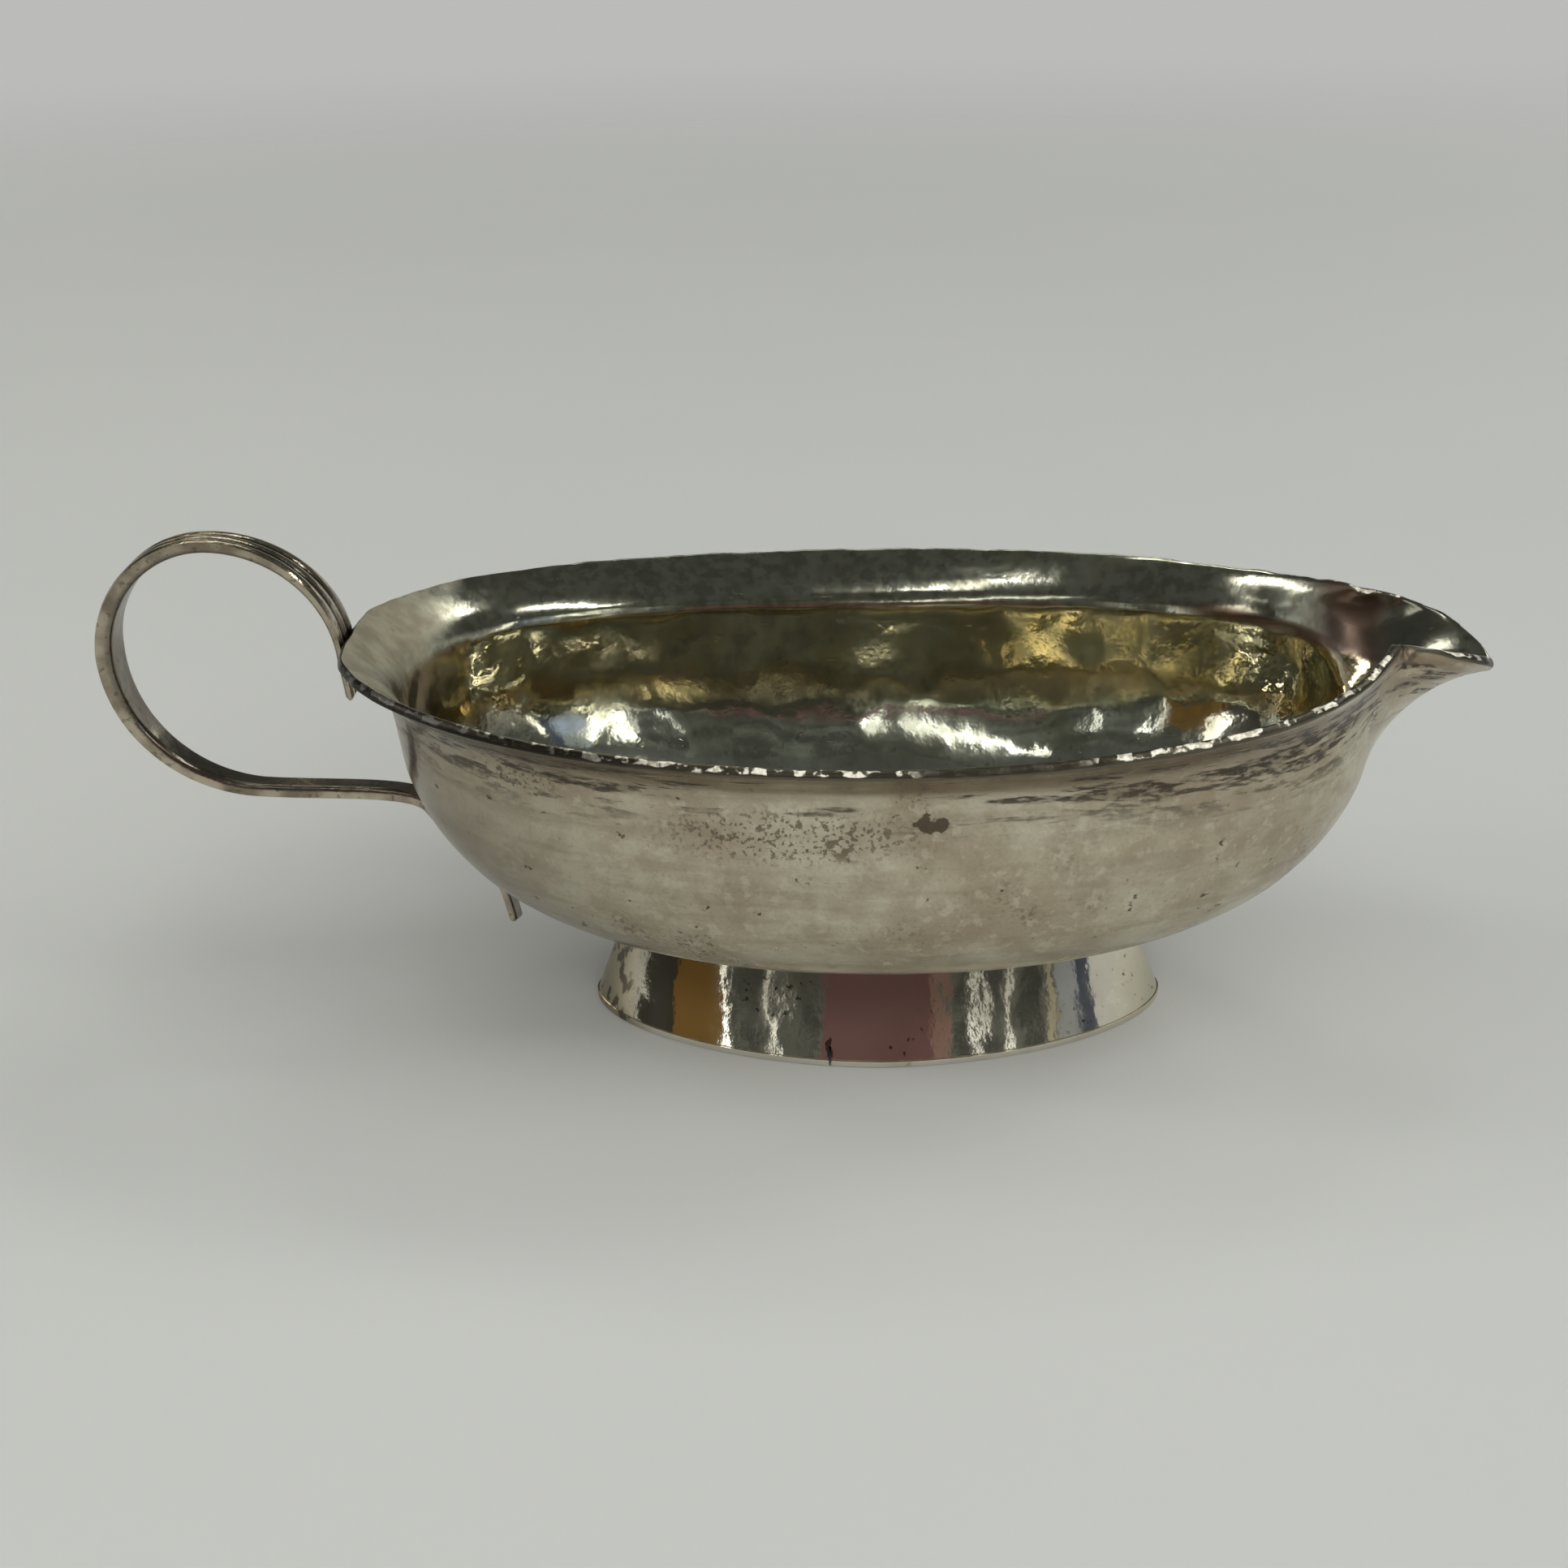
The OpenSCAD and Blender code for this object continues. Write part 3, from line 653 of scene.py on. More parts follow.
def column_angles():
    """Angles round the bowl from the beak, set closer in the beak."""
    half = np.concatenate([
        np.linspace(0, SHOULDER, BEAK_COLS // 2, endpoint=False),
        np.linspace(SHOULDER, math.pi, (COLS - BEAK_COLS) // 2 + 1),
    ])
    return np.concatenate([half, 2 * math.pi - half[-2:0:-1]])


def bowl_outside(t):
    """Rows of the outside from the floor up, and each row's rise: 1 at the wall's top and 2 at the lip."""
    rows, rise = [], []
    for m in range(1, FLOOR_STEPS + 1):
        x, y = foot_oval(lean_in(1), t)
        rows.append(on_bowl(x * m / FLOOR_STEPS, y * m / FLOOR_STEPS))
        rise.append(0.0)
    rows.append(on_bowl(*foot_oval(FOOT_SPLAY, t)))
    rise.append(0.0)
    for k in range(BELLY_STEPS):
        w = (k / BELLY_STEPS) ** BELLY_CROWD
        rows.append(belly_pt(t, w))
        rise.append(w)
    for k in range(FLARE_STEPS + 1):
        w = k / FLARE_STEPS
        rows.append(flare_pt(t, w))
        rise.append(1 + w)
    return np.array(rows), np.array(rise)


def row_normals(rows):
    """Outward normals of the rows, whose columns run round."""
    across = np.roll(rows, -1, 1) - np.roll(rows, 1, 1)
    return unit(np.cross(across, np.gradient(rows, axis=0)))


def lip_run(lip):
    """Length along the lip from the beak's tip to each column, the shorter way round."""
    run = np.concatenate([[0], np.cumsum(np.linalg.norm(np.roll(lip, -1, 0) - lip, axis=1))])
    return np.minimum(run[:-1], run[-1] - run[:-1])


def below_lip(rows):
    """Length down each column from the lip."""
    steps = np.linalg.norm(np.diff(rows, axis=0), axis=-1)
    return np.concatenate([np.cumsum(steps[::-1], 0)[::-1], np.zeros((1, rows.shape[1]))])


def eased(rows, share, axis):
    """The rows with each point drawn toward the middle of its two neighbours, by a share of 0 to 1."""
    for _ in range(EASE_TURNS):
        even = (np.roll(rows, 1, axis) + np.roll(rows, -1, axis)) / 2
        rows = rows + (even - rows) * share[..., None] * 0.5
    return rows


def by_crease(rise):
    return smooth(rise, 0.7, 0.95)[:, None] * smooth(rise, 1.75, 1.3)[:, None]


def soften(rows, rise, t):
    """Eases the crease under the flare, most of all in the beak and by the handle."""
    ends = np.maximum(root_bump(t), smooth(off_beak(t), math.pi - HANDLE_END, math.pi))
    rows = eased(rows, by_crease(rise) * (CREASE_EASE + (1 - CREASE_EASE) * ends), 0)
    by_shoulder = smooth(np.abs(off_beak(t) - SHOULDER), SHOULDER_EASE, 0)
    return eased(rows, smooth(rise, 0.8, 1.1)[:, None] * smooth(rise, 2, 1.7)[:, None] * by_shoulder, 1)


def hammered(outer, inner, normal, rise):
    """Both faces with shallow hammer marks: none outside by the foot, and weak ones on the flange inside."""
    free = smooth(rise, 0.02, 0.25)[:, None]
    dent = planish(outer, *FACETS_OUT, 1) + waves(outer, *WAVES_OUT, 2)
    blow = waves(inner, *RIPPLES_IN, 3) + planish(inner, *FACETS_IN, 4) + waves(inner, *WAVES_IN, 5)
    share = smooth(rise, 1.25, 0.95)[:, None] * (1 - FLANGE_SHARE) + FLANGE_SHARE
    return outer + normal * (free * dent)[..., None], inner + normal * (blow * share)[..., None]


def lip_edge(outer, inner, along):
    """Rows over the edge of the lip, from outside to inside and unevenly rounded, and their turns."""
    middle, half = (outer[-1] + inner[-1]) / 2, (outer[-1] - inner[-1]) / 2
    bulge = EDGE_BULGE * (1 + waves(middle, *EDGE_SWELL, 8))
    tilt = waves(middle, *EDGE_TILT, 13)
    turns = np.array([math.pi * k / EDGE_STEPS for k in range(1, EDGE_STEPS)])
    rows = []
    for a in turns:
        push = (bulge + tilt * EDGE_BULGE * math.cos(a)) * math.sin(a) ** EDGE_FULLNESS
        rows.append(middle + half * math.cos(a) + along * push[:, None])
    return np.array(rows), turns


def mark_bowl(piece, rings, outer, rise, turns):
    """Keeps each vertex's rise, its place across the lip's edge, its depth below the lip and its flow."""
    down = below_lip(outer)
    below = np.concatenate([down, np.zeros((len(turns), COLS)), down[::-1]])
    flow = np.stack([np.broadcast_to(lip_run(outer[-1]), below.shape), below, rings[..., 1]], -1)
    rises = np.concatenate([rise, np.full(len(turns), 2.0), rise[::-1]])
    across = np.concatenate([0 * rise, turns / math.pi, 0 * rise + 1])
    mark(piece, "rise", [*np.repeat(rises, COLS), 0, 0])
    mark(piece, "across", [*np.repeat(across, COLS), 0, 1])
    mark(piece, "below", [*below.ravel(), below[0, 0], below[0, 0]])
    mark(piece, "flow", [*flow.reshape(-1, 3), flow[0, 0], flow[0, 0]])


def paint_bowl(piece, edge_from, inside_from, floor_point):
    """Gives each face its material, by its first vertex. The floor's outer fan stays outside."""
    for face in piece.data.polygons:
        first = min(face.vertices)
        if floor_point in face.vertices or first < edge_from:
            face.material_index = OUTSIDE
        else:
            face.material_index = INSIDE if first >= inside_from else EDGE


def make_bowl(outside_material, inside_material, edge_material):
    t = column_angles()
    outer, rise = bowl_outside(t)
    outer = soften(outer, rise, t)
    normal = row_normals(outer)
    thickness = SHEET_T + LIP_EXTRA * smooth(rise, 1.6, 2)[:, None]
    inner = outer - normal * thickness[..., None]
    outer = eased(outer, by_crease(rise) * OUTER_EASE, 0)
    outer, inner = hammered(outer, inner, normal, rise)

    along = unit(outer[-1] - outer[-2])
    nick = waves(outer[-1], *NICKS_LONG, 6) + waves(outer[-1], *NICKS_SHORT, 7)
    shift = smooth(rise, 1.55, 2)[:, None, None] * along * nick[:, None]
    outer, inner = outer + shift, inner + shift
    edge, turns = lip_edge(outer, inner, along)

    rings = np.concatenate([outer, edge, inner[::-1]])
    pole_out = on_bowl(np.array(0.0), np.array(POLE_OFF))
    pole_in = pole_out + (0, 0, SHEET_T)
    points = np.concatenate([rings.reshape(-1, 3), [pole_out, pole_in]])
    faces = grid_faces(len(rings), COLS, True, False)
    low, high, last = len(points) - 2, len(points) - 1, (len(rings) - 1) * COLS
    faces += [(low, (i + 1) % COLS, i) for i in range(COLS)]
    faces += [(last + i, last + (i + 1) % COLS, high) for i in range(COLS)]
    materials = [outside_material, inside_material, edge_material]
    piece = make_piece("bowl", points, faces, materials)
    mark_bowl(piece, rings, outer, rise, turns)
    paint_bowl(piece, (len(outer) - 1) * COLS, (len(outer) + len(edge) - 1) * COLS, low)
    return piece


# Handle

SPAN_STEPS, TONGUE_STEPS, SEAT_STEPS = 40, 14, 12
REED_STEPS, SIDE_STEPS, FLAT_STEPS = 48, 8, 9
SIDE_ROUND, FLAT_HALF, SIDE_RUBBED, OUTER_FACE = 0.14, 0.30, 0.8, -0.49
END_ROUND, END_START, END_NARROW = 0.4, 0.05, 0.1
TAIL_CUT_RUN, STRAP_SWAY = 3, (0.12, 14)
LIP_END = lip_pt(np.array(math.pi))


def way(heading):
    return np.array([math.cos(math.radians(heading)), math.sin(math.radians(heading))])


def span(a, b, steps=SPAN_STEPS, trail=None):
    """Points [x, z, width, thickness] from knot a to b. A knot is (place, heading, width, thickness)."""
    lead = STRAP_EASE * np.linalg.norm(b[0] - a[0])
    w = (np.arange(steps) / steps)[:, None]
    a1, b1 = a[0] + lead * way(a[1]), b[0] - (trail or lead) * way(b[1])
    place = a[0] * (1 - w) ** 3 + a1 * 3 * w * (1 - w) ** 2 + b1 * 3 * w ** 2 * (1 - w) + b[0] * w ** 3
    return np.concatenate([place, a[2] + (b[2] - a[2]) * w, a[3] + (b[3] - a[3]) * w], 1)


def wall_line(k):
    p = belly_pt(np.array(math.pi), (k / BELLY_ROWS) ** BELLY_CROWD)
    return np.array([p[0], p[2]])


def seat_knot(k):
    """The strap's middle where it lies on the wall, at belly row k."""
    share = (SEAT_LAST - k) / (SEAT_LAST - SEAT_FIRST)
    width = STRAP_RUN_W + (TAIL_W - STRAP_RUN_W) * share
    thickness = STRAP_T + (STRAP_END_T - STRAP_T) * share
    d = wall_line(k - 1) - wall_line(k + 1)
    side = unit(np.array([d[1], -d[0]]))
    place = wall_line(k) + side * (WALL_GAP + thickness / 2)
    return place, math.degrees(math.atan2(d[1], d[0])), width, thickness


def tongue_face(z):
    """The tongue's inner face at a height, where it just clears the edge of the lip."""
    return LIP_END[0] - LIP_GAP + (LIP_END[2] - z) * math.tan(math.radians(TONGUE_LEAN))


def tongue_mid(z):
    return np.array([tongue_face(z) - STRAP_END_T / 2 / math.cos(math.radians(TONGUE_LEAN)), z])


def strap_path():
    """The strap from the tongue's end, over the loop and along the wall to the tail's end."""
    end_x, end_z = LIP_END[0], LIP_END[2]
    tongue = (tongue_mid(end_z - TONGUE_L), 90 + TONGUE_LEAN, TONGUE_W, STRAP_END_T)
    lip = (tongue_mid(end_z - LIP_CROSS), 90 + TONGUE_LEAN, STRAP_LIP_W, STRAP_END_T)
    crown = (np.array([end_x - LOOP_CROWN, end_z + LOOP_UP]), 180, STRAP_W, STRAP_T)
    back = (np.array([end_x - LOOP_OUT, end_z - LOOP_BACK]), 270, STRAP_BACK_W, STRAP_BACK_T)
    run = (np.array([end_x - RUN_REACH, end_z - LOOP_RUN]), RUN_HEADING, STRAP_RUN_W, STRAP_T)
    seat, leave = seat_knot(SEAT_LAST), seat_knot(SEAT_FIRST)
    tail = (leave[0] + np.array([TAIL_RUN, -TAIL_DROP]), TAIL_HEADING, TAIL_W, STRAP_END_T)
    on_wall = [seat_knot(k) for k in np.linspace(SEAT_LAST, SEAT_FIRST, SEAT_STEPS, endpoint=False)]
    return np.concatenate([
        span(tongue, lip, TONGUE_STEPS),
        span(lip, crown),
        span(crown, back),
        span(back, run),
        span(run, seat, trail=SEAT_LEAD),
        [[*k[0], k[2], k[3]] for k in on_wall],
        span(leave, tail),
        [[*tail[0], tail[2], tail[3]]],
    ])


def strap_section():
    """Outline of the strap for a width and thickness of 1, and for each point of it how far up a reed it is,
    how much it is rubbed and how far inside it lies."""
    across = np.linspace(0, 1, REED_STEPS + 1)
    reed = np.abs(np.sin(REEDS * math.pi * across))
    outer = np.stack([across - 0.5, np.full_like(across, -0.5)], 1)
    turn = np.linspace(0, math.pi / 2, SIDE_STEPS)
    corner = np.stack([0.5 - SIDE_ROUND + SIDE_ROUND * np.cos(turn), 0.5 * np.sin(turn)], 1)
    flat = np.stack([np.linspace(FLAT_HALF, -FLAT_HALF, FLAT_STEPS), np.full(FLAT_STEPS, 0.5)], 1)
    outline = np.concatenate([outer, corner, flat, corner[::-1] * (-1, 1)])
    rubbed_and_glint = np.maximum(reed, SIDE_RUBBED * smooth(np.abs(across - 0.5), 0.40, 0.48))
    sides = np.full(len(outline) - len(reed), SIDE_RUBBED)
    inner = smooth(outline[:, 1], -0.2, 0.5)
    return outline, np.concatenate([reed, sides]), np.concatenate([rubbed_and_glint, sides]), inner


def make_handle(material):
    path = strap_path()
    step = np.linalg.norm(np.diff(path[:, :2], axis=0), axis=1)
    run = np.concatenate([[0], np.cumsum(step)])
    from_end = np.minimum(run, run[-1] - run)
    rounded = np.sqrt(1 - (1 - np.minimum(1, (from_end + END_START) / END_ROUND)) ** 2)
    slant = TAIL_CUT * smooth(run[-1] - run, TAIL_CUT_RUN, 0)
    heading = unit(np.gradient(path[:, :2], axis=0))
    outline, reed, rubbed_and_glint, inner = strap_section()
    groove = np.where(outline[:, 1] < OUTER_FACE, REED_D * (1 - reed), 0)
    rings = []
    for (x, z, width, thickness), d, r, cut in zip(path, heading, rounded, slant):
        y = outline[:, 0] * width * (1 - END_NARROW + END_NARROW * r)
        off = (outline[:, 1] * thickness + groove) * r
        rings.append(np.stack([x - d[1] * off + d[0] * cut * y, y, z + d[0] * off + d[1] * cut * y], 1))
    rings = np.array(rings)
    rings[..., 1] += waves(rings * (1, 0, 1), *STRAP_SWAY, 9)
    faces = sleeve_faces(*rings.shape[:2])
    piece = make_piece("handle", rings.reshape(-1, 3), faces, [material], sharp=50)
    mark(piece, "reed", np.tile(rubbed_and_glint, len(rings)))
    mark(piece, "inner", np.tile(inner, len(rings)))
    return piece


# Foot

FOOT_COLS, FOOT_STEPS, SEAM_COLS, FILLET_STEPS = 384, 20, 5, 9
BASE_ROUND, BASE_TURNS = 0.25, np.linspace(0, math.pi / 2, 5)
LEDGE = ((0.0, FOOT_EDGE - 0.012), (0.05, FOOT_EDGE - 0.002), (FOOT_EDGE_T, FOOT_EDGE))
FOOT_OUTWARD = (1, 2.5, 0)
FILLET_PULL = 0.6

# Dents in the band: depth and width
DENTS_UPRIGHT, DENTS_FINE, DENTS_BROAD, UPRIGHT_STRETCH = (0.045, 3.5), (0.02, 2.4), (0.06, 12), (1, 1, 0.5)


def seam_angle(x, inset):
    """Angle on the near side where the foot's oval, set in by inset, crosses x."""
    return 2 * math.pi - math.acos(spow(x / (FOOT_L / 2 - inset), FOOT_N / 2))


def foot_profile(f_low):
    """(inset, share of the height, is outer) up the outer face and down the inner one, from f_low on."""
    edge = max(f_low, FOOT_EDGE)
    outer = [(BASE_ROUND * (1 - math.sin(a)), BASE_ROUND * (1 - math.cos(a)) / BELLY_Z) for a in BASE_TURNS]
    outer = [(inset, f) for inset, f in (*outer, *LEDGE) if f >= f_low]
    outer += [(lean_out(f), f) for f in np.linspace(edge, 1, FOOT_STEPS + 1)[1:]]
    inner = [(lean_in(f), f) for f in np.linspace(f_low, 1, FOOT_STEPS + 1)[::-1]]
    return [(*p, True) for p in outer] + [(*p, False) for p in inner]


def foot_strip(f_low, from_x, to_x, turns, cols):
    """Rows of the band's section, swept from the seam's one side to the other."""
    rows = []
    for inset, f, outer in foot_profile(f_low):
        t = np.linspace(seam_angle(from_x, inset), seam_angle(to_x, inset) + turns * 2 * math.pi, cols)
        top = on_bowl(*foot_oval(FOOT_SPLAY if outer else lean_in(1), t))[..., 2]
        rows.append(np.stack([*foot_oval(inset, t), top * f], -1))
    return np.array(rows)


def capped(rows):
    """Faces of a strip whose rows close on themselves, with a face at each end."""
    count, cols = rows.shape[:2]
    faces = grid_faces(count, cols, False, True)
    faces.append(tuple(j * cols for j in range(count)))
    faces.append(tuple(j * cols + cols - 1 for j in range(count))[::-1])
    return faces


def make_foot(material):
    rows = foot_strip(0, SEAM_X + SEAM_GAP / 2, SEAM_X - SEAM_GAP / 2, 1, FOOT_COLS)
    free = np.array([smooth(f, FOOT_EDGE, 0.3) * smooth(f, 1, 0.9) for _, f, _ in foot_profile(0)])[:, None]
    upright = waves(rows * UPRIGHT_STRETCH, *DENTS_UPRIGHT, 11)
    dent = upright + waves(rows, *DENTS_FINE, 14) + waves(rows, *DENTS_BROAD, 12)
    points = (rows + unit(rows * FOOT_OUTWARD) * (free * dent)[..., None]).reshape(-1, 3)
    return make_piece("foot_band", points, capped(rows), [material], sharp=35)


def make_foot_seam(material):
    rows = foot_strip(SEAM_OPEN / BELLY_Z, SEAM_X - SEAM_GAP / 2, SEAM_X + SEAM_GAP / 2, 0, SEAM_COLS)
    return make_piece("foot_seam", rows.reshape(-1, 3), capped(rows), [material], sharp=35)


def make_foot_solder(material):
    """The hollow fillet between the band's outer face and the bowl."""
    t = column_angles()
    x, y = foot_oval(lean_out(1 - FILLET_SHARE), t)
    top = on_bowl(*foot_oval(FOOT_SPLAY, t))
    low = np.stack([x, y, top[:, 2] * (1 - FILLET_SHARE)], -1)
    high = on_bowl(*foot_oval(FOOT_SPLAY - FILLET_LEG, t))
    pull = top * FILLET_PULL + (low + high) * (1 - FILLET_PULL) / 2
    rows = [
        low * (1 - w) ** 2 + pull * 2 * w * (1 - w) + high * w ** 2 for w in np.linspace(0, 1, FILLET_STEPS)
    ]
    rows = np.array([*rows, top])
    points, faces = rows.reshape(-1, 3), grid_faces(len(rows), COLS, True, True)
    return make_piece("foot_solder", points, faces, [material], sharp=40)


# Strap joints

JOINT_COLS, JOINT_ROWS, JOINT_SIDE_STEPS, JOINT_HOLLOW = 9, 8, 7, 0.35
RIM_JOINT_HALF, WALL_JOINT_HALF = math.radians(4), math.radians(3)
RIM_JOINT_FROM, RIM_JOINT_TO, RIM_JOINT_NARROW = 0.62, 0.97, 0.9


def make_joint(name, wall_rows, strap_rows, material):
    """A block of solder from rows on the bowl to rows on the strap, hollow along its two sides."""
    rings = []
    for wall, strap in zip(wall_rows, strap_rows):
        sides = []
        for w in np.linspace(0, 1, JOINT_SIDE_STEPS)[1:-1]:
            hollow = 1 - JOINT_HOLLOW * math.sin(math.pi * w)
            sides.append((wall[-1] * (1 - w) + strap[-1] * w) * (1, hollow, 1))
        sides = np.array(sides)
        rings.append(np.concatenate([wall, sides, strap[::-1], sides[::-1] * (1, -1, 1)]))
    rings = np.array(rings)
    faces = sleeve_faces(*rings.shape[:2])
    return make_piece(name, rings.reshape(-1, 3), faces, [material], sharp=40)


def make_rim_solder(material):
    """Solder between the tongue and the underside of the flare."""
    t = np.linspace(math.pi + RIM_JOINT_HALF, math.pi - RIM_JOINT_HALF, JOINT_COLS)
    walls = [flare_pt(t, w) for w in np.linspace(RIM_JOINT_FROM, RIM_JOINT_TO, JOINT_ROWS)]
    straps = [
        np.stack([tongue_face(wall[:, 2]), wall[:, 1] * RIM_JOINT_NARROW, wall[:, 2]], 1) for wall in walls
    ]
    return make_joint("rim_solder", walls, straps, material)


def make_wall_solder(material):
    """Solder between the lower end of the strap and the wall."""
    t = np.linspace(math.pi + WALL_JOINT_HALF, math.pi - WALL_JOINT_HALF, JOINT_COLS)
    walls, straps = [], []
    for k in np.linspace(SEAT_FIRST, SEAT_LAST, JOINT_ROWS):
        place, heading, width, thickness = seat_knot(k)
        x, z = place + way(heading - 90) * (-thickness / 2)
        across = np.linspace(-width / 2, width / 2, JOINT_COLS)
        walls.append(belly_pt(t, (k / BELLY_ROWS) ** BELLY_CROWD))
        straps.append(np.stack([np.full(JOINT_COLS, x), across, np.full(JOINT_COLS, z)], 1))
    return make_joint("wall_solder", walls, straps, material)


# Studio

IMAGE_PX, FOCAL_PX, SENSOR = 1932, 2817, 36.0
CAMERA_AT, CLIP = (-0.00411, -0.23854, 0.12718), (0.01, 20)
YAW, PITCH, ROLL = math.radians(1.544), math.radians(22.895), math.radians(-0.981)
FLOOR_FADE, FLOOR_CORNERS, FLOOR_CLOUD, FLOOR_ROUGH = (0.35, 1.2), 64, 120, 0.6
FLOOR_PALE, FLOOR_PALER = (0.475, 0.485, 0.462), (0.505, 0.512, 0.49)
ROOM_PALE, ROOM_PALE_TO = (0.50, 0.505, 0.49), 0.08
ROOM_DIM, ROOM_DIM_FROM = (0.085, 0.088, 0.080), 0.30
TUBE_WHITE, TUBE_GLOW = (1.0, 0.985, 0.95), 9
CARD_MOTTLE, CARD_MOTTLE_DIM = 260, 0.25

# Soft lamps: name, place, size and glow
FILLS = (
    ("fill_front", (0.9, -1.4, 1.6), 2.4, 1.35),
    ("fill_top", (0.2, -0.4, 2.4), 3.0, 0.40),
    ("fill_right", (1.9, -0.4, 0.8), 1.6, 1.4),
    ("fill_left", (-1.7, -0.6, 0.7), 1.4, 1.0),
    ("fill_low", (0.3, -1.8, 0.6), 1.4, 2.7),
    ("key_back", (0.3, 1.1, 1.9), 0.4, 5),
    ("key_right", (1.35, 0.45, 1.25), 0.4, 10),
    ("key_left", (-1.35, 0.35, 1.25), 0.4, 6),
)

# Lamp tubes: name, both ends and width
TUBES = (
    ("tube_over", (-0.05, -0.80, 1.5), (-0.18, -0.32, 1.5), 0.06),
    ("tube_right", (1.08, -1.04, 1.5), (1.12, -0.18, 1.5), 0.14),
    ("tube_back", (1.08, 0.46, 1.4), (1.12, 1.00, 1.4), 0.14),
    ("tube_left", (-0.91, -0.19, 0.7), (-2.5, 0.40, 0.7), 0.14),
)

# Narrow upright cards that show in the foot: azimuth, width and glow
STRIPS = ((-43, 1.3, 2.2), (-29.5, 1.4, 1.4), (30, 0.6, 2.0), (38, 1.0, 1.4))


def add_camera():
    forward = Vector((-math.sin(YAW) * math.cos(PITCH), math.cos(YAW) * math.cos(PITCH), -math.sin(PITCH)))
    level = Vector((math.cos(YAW), math.sin(YAW), 0))
    upright = level.cross(forward)
    right = level * math.cos(ROLL) + upright * math.sin(ROLL)
    up = upright * math.cos(ROLL) - level * math.sin(ROLL)
    data = bpy.data.cameras.new("camera")
    data.sensor_width = SENSOR
    data.lens = SENSOR * FOCAL_PX / IMAGE_PX
    data.clip_start, data.clip_end = CLIP
    camera = link("camera", data)
    turn = Matrix((right, up, -forward)).transposed()
    camera.matrix_world = Matrix.Translation(CAMERA_AT) @ turn.to_4x4()
    bpy.context.scene.camera = camera


def add_floor():
    """A pale disc that fades into the pale surroundings."""
    solid_to, faded_from = FLOOR_FADE
    turns = np.linspace(0, 2 * math.pi, FLOOR_CORNERS, endpoint=False)
    ring = [(faded_from * math.cos(a), faded_from * math.sin(a), 0) for a in turns]
    mesh = bpy.data.meshes.new("floor")
    mesh.from_pydata(ring, [], [tuple(range(FLOOR_CORNERS))])
    p = Paint("pale_floor")
    p.put(p.bsdf.inputs["Base Color"], p.mix(p.noise(FLOOR_CLOUD, 4), FLOOR_PALE, FLOOR_PALER))
    p.put(p.bsdf.inputs["Roughness"], FLOOR_ROUGH)
    away = p.vector("LENGTH", p.place)["Value"]
    p.put(p.bsdf.inputs["Alpha"], p.step(away, solid_to, faded_from, 1, 0))
    mesh.materials.append(p.material)
    floor = link("floor", mesh)


def add_tube(name, start, end, width):
    """A lamp tube from one point to another, facing the boat."""
    start, end = Vector(start), Vector(end)
    along = (end - start).normalized()
    middle = (start + end) / 2
    away = (middle - along * middle.dot(along)).normalized()
    data = bpy.data.lights.new(name, "AREA")
    data.shape = "RECTANGLE"
    data.size, data.size_y = width, (end - start).length
    data.energy = TUBE_GLOW * math.pi * data.size * data.size_y
    data.color = TUBE_WHITE
    tube = link(name, data)
    turn = Matrix((along.cross(away), along, away)).transposed()
    tube.matrix_world = Matrix.Translation(middle) @ turn.to_4x4()
    tube.visible_camera = False


def add_fill(name, at, size, glow):
    """A broad soft lamp that lights the floor and that the silver doesn't mirror."""
    data = bpy.data.lights.new(name, "AREA")
    data.size = size
    data.energy = glow * math.pi * size ** 2
    fill = link(name, data)
    fill.matrix_world = Matrix.Translation(at) @ Vector(at).to_track_quat("Z", "Y").to_matrix().to_4x4()
    fill.visible_camera = fill.visible_glossy = False


def card_glow(name, colour, half, mottled, soft):
    """A glowing material, mottled or fading out toward the card's border where asked."""
    p = Paint(name)
    glow = colour
    if mottled:
        dim = [CARD_MOTTLE_DIM * c for c in colour]
        glow = p.mix(p.step(p.noise(CARD_MOTTLE, 5), 0.35, 0.65), dim, colour)
    p.put(p.bsdf.inputs["Base Color"], (0, 0, 0))
    p.put(p.bsdf.inputs["Emission Color"], glow)
    p.put(p.bsdf.inputs["Emission Strength"], 1.0)
    if soft:
        off = p.vector("DIVIDE", p.place, (*half, 1))["Vector"]
        p.put(p.bsdf.inputs["Alpha"], p.step(p.vector("LENGTH", off)["Value"], 1.0, 0.2))
    return p.material


def add_card(name, away, azimuth, elevation, width, height, colour, roll=0, mottled=False, soft=False):
    """A glowing card that only reflections see: its distance, then its place, size and roll as angles."""
    a, e = math.radians(azimuth), math.radians(elevation)
    back = Vector((math.sin(a) * math.cos(e), -math.cos(a) * math.cos(e), math.sin(e)))
    w, h = (away * math.tan(math.radians(angle / 2)) for angle in (width, height))
    mesh = bpy.data.meshes.new(name)
    mesh.from_pydata([(-w, -h, 0), (w, -h, 0), (w, h, 0), (-w, h, 0)], [], [(0, 1, 2, 3)])
    mesh.materials.append(card_glow(name, colour, (w, h), mottled, soft))
    card = link(name, mesh)
    turn = back.to_track_quat("Z", "Y").to_matrix().to_4x4() @ Matrix.Rotation(math.radians(roll), 4, "Z")
    card.matrix_world = Matrix.Translation(back * away) @ turn
    card.visible_camera = card.visible_diffuse = card.visible_shadow = False


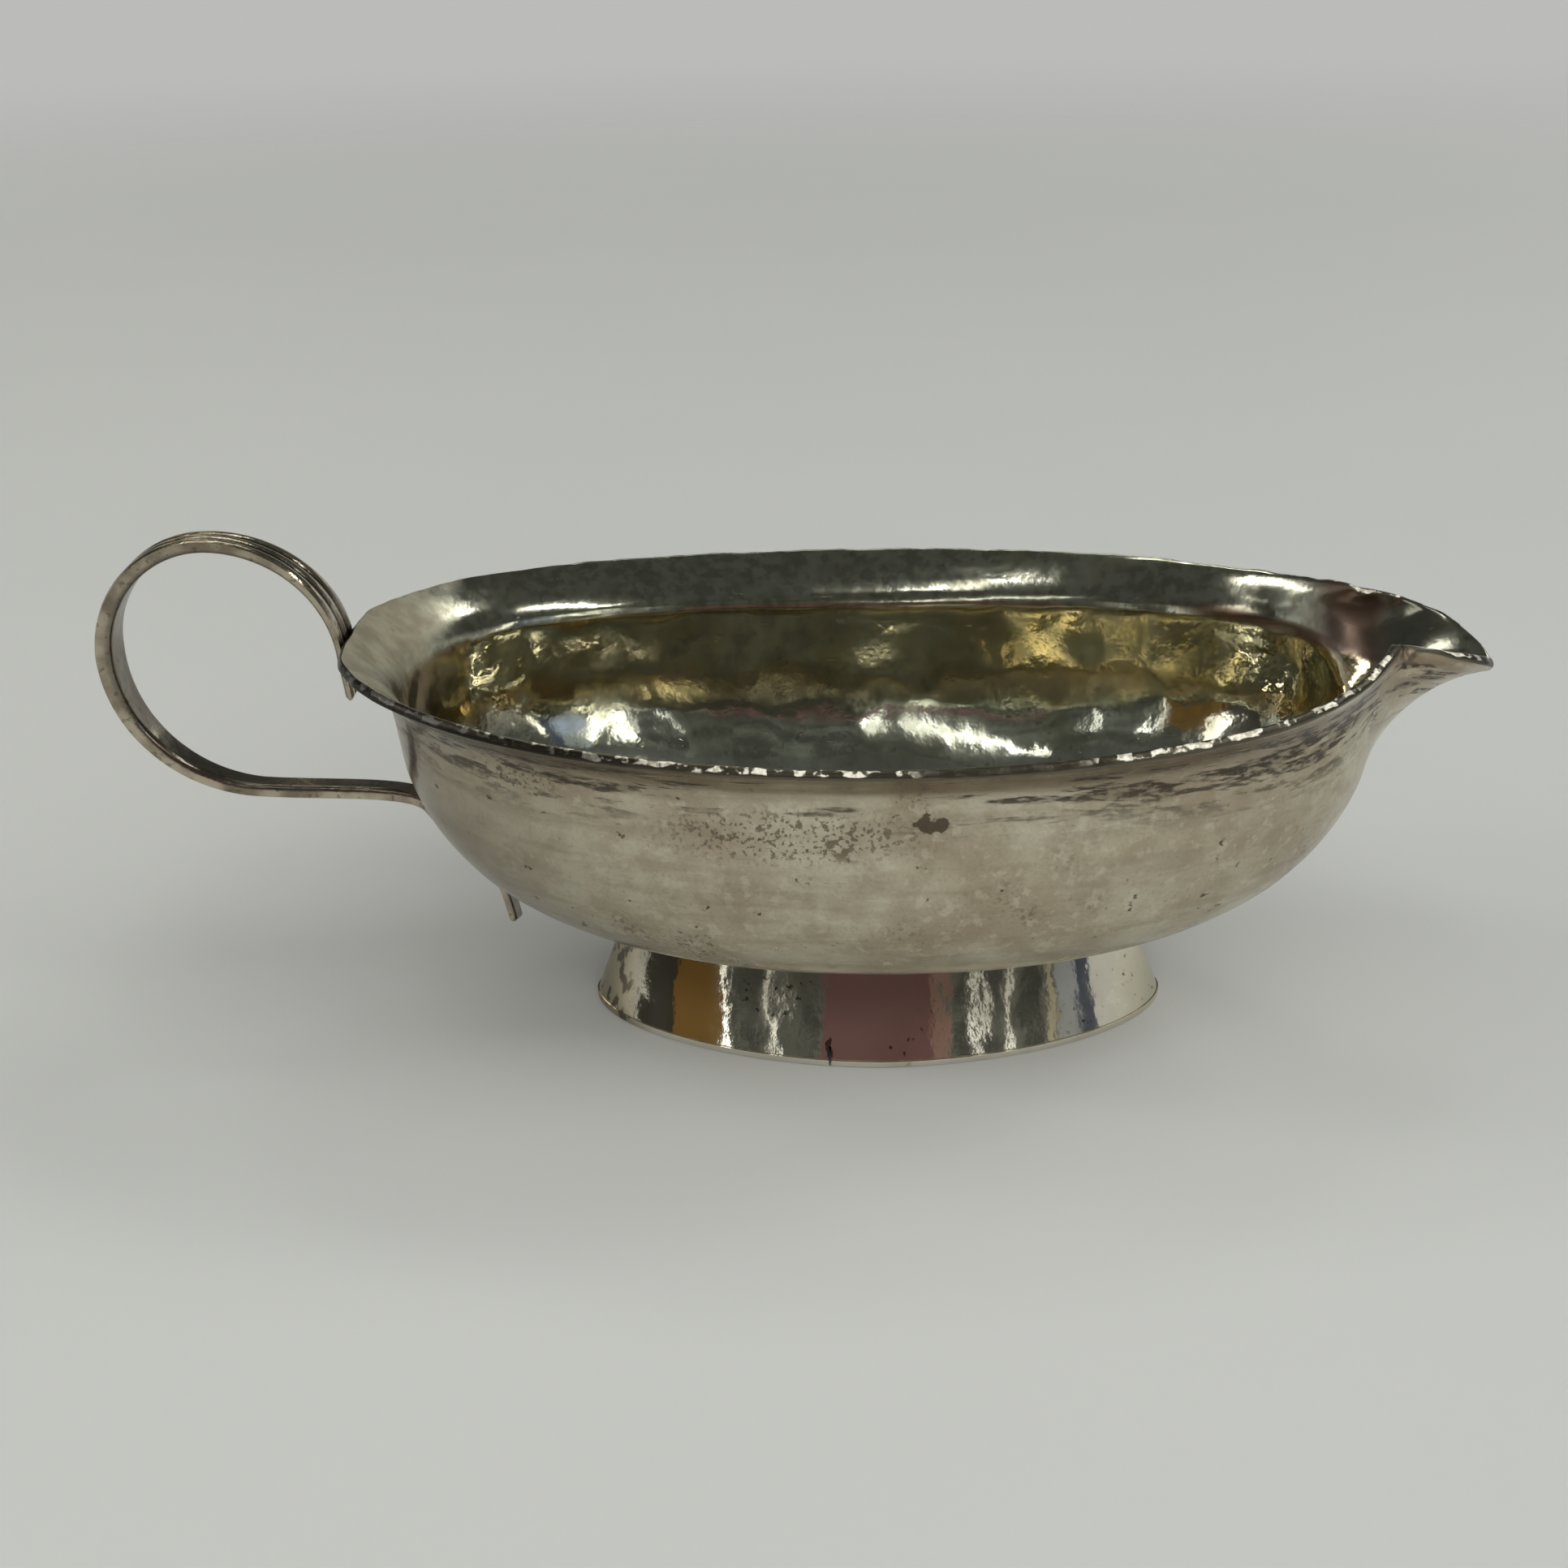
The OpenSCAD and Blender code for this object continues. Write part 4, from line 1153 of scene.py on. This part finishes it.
def add_world():
    """A dim room that is pale near the horizon."""
    world = bpy.data.worlds.new("studio")
    world.use_nodes = True
    tree = world.node_tree
    coords = tree.nodes.new("ShaderNodeTexCoord")
    split = tree.nodes.new("ShaderNodeSeparateXYZ")
    ramp = tree.nodes.new("ShaderNodeValToRGB")
    low, high = ramp.color_ramp.elements
    low.position, low.color = ROOM_PALE_TO, (*ROOM_PALE, 1.0)
    high.position, high.color = ROOM_DIM_FROM, (*ROOM_DIM, 1.0)
    tree.links.new(coords.outputs["Generated"], split.inputs["Vector"])
    tree.links.new(split.outputs["Z"], ramp.inputs["Fac"])
    tree.links.new(ramp.outputs["Color"], tree.nodes["Background"].inputs["Color"])
    bpy.context.scene.world = world


def add_cards():
    """Dark and coloured cards for the bands in the foot, and bright windows for the lights in the bowl."""
    add_card("card_dark", 2.0, 0, 20, 124, 50, (0.105, 0.11, 0.092), mottled=True)
    add_card("card_left", 1.9, -71.5, 12, 21, 34, (0.022, 0.02, 0.014))
    add_card("card_gold", 1.7, -53, 10, 17, 30, (0.125, 0.064, 0.007))
    add_card("card_rose", 0.42, 1, 10, 36, 25, (0.115, 0.056, 0.055))
    add_card("card_pink", 0.41, 20, 10, 3, 25, (0.20, 0.12, 0.10))
    add_card("card_beige", 1.7, 51, 14, 3, 30, (0.34, 0.31, 0.22))
    add_card("card_pale", 1.7, 57.5, 14, 8, 30, (0.26, 0.28, 0.29))
    add_card("card_blue", 1.7, 65, 14, 7, 30, (0.04, 0.05, 0.08))
    add_card("window_right", 1.6, 42.5, 24, 3.5, 18, (2.4, 2.4, 2.1))
    add_card("window_leg", 1.58, 48, 20.5, 3.5, 14, (2.4, 2.4, 2.1), -34)
    add_card("window_far", 1.6, 71, 16, 4, 14, (2.2, 2.2, 2.0), 14)
    add_card("window_mid", 1.6, 156, 13, 4, 2.5, (3.0, 3.0, 2.7))
    add_card("window_blue", 1.65, 56, 18, 18, 15, (0.42, 0.50, 0.70), soft=True)
    add_card("window_front", 1.6, -10, 33, 30, 3.5, (2.2, 2.2, 2.0), -55)
    add_card("window_back", 1.6, -158, 30, 4, 16, (2.0, 1.8, 1.2), 12)
    add_card("window_side", 1.6, -146, 27, 3, 20, (0.9, 0.8, 0.5), -15)
    add_card("window_rear", 1.9, -150, 58, 40, 3, (8.0, 8.0, 7.4))
    add_card("window_tip", 1.6, -111, 70, 8, 8, (4.0, 4.0, 3.7))
    add_card("window_left", 1.6, -65, 24, 9, 12, (2.0, 1.9, 1.7))
    for number, (azimuth, width, glow) in enumerate(STRIPS):
        add_card(f"strip_{number}", 1.5, azimuth, 14, width, 30, (glow, glow, 0.94 * glow))


def add_light():
    add_world()
    for fill in FILLS:
        add_fill(*fill)
    for tube in TUBES:
        add_tube(*tube)
    add_cards()


def build():
    joint = dull_solder()
    make_bowl(worn_silver(), bright_silver(), edge_silver())
    make_handle(strap_silver())
    band = foot_silver()
    make_foot(band)
    make_foot_solder(joint)
    make_foot_seam(band)
    make_rim_solder(joint)
    make_wall_solder(joint)
    add_floor()
    add_light()
    add_camera()
    bpy.context.scene.view_settings.view_transform = "Standard"


build()
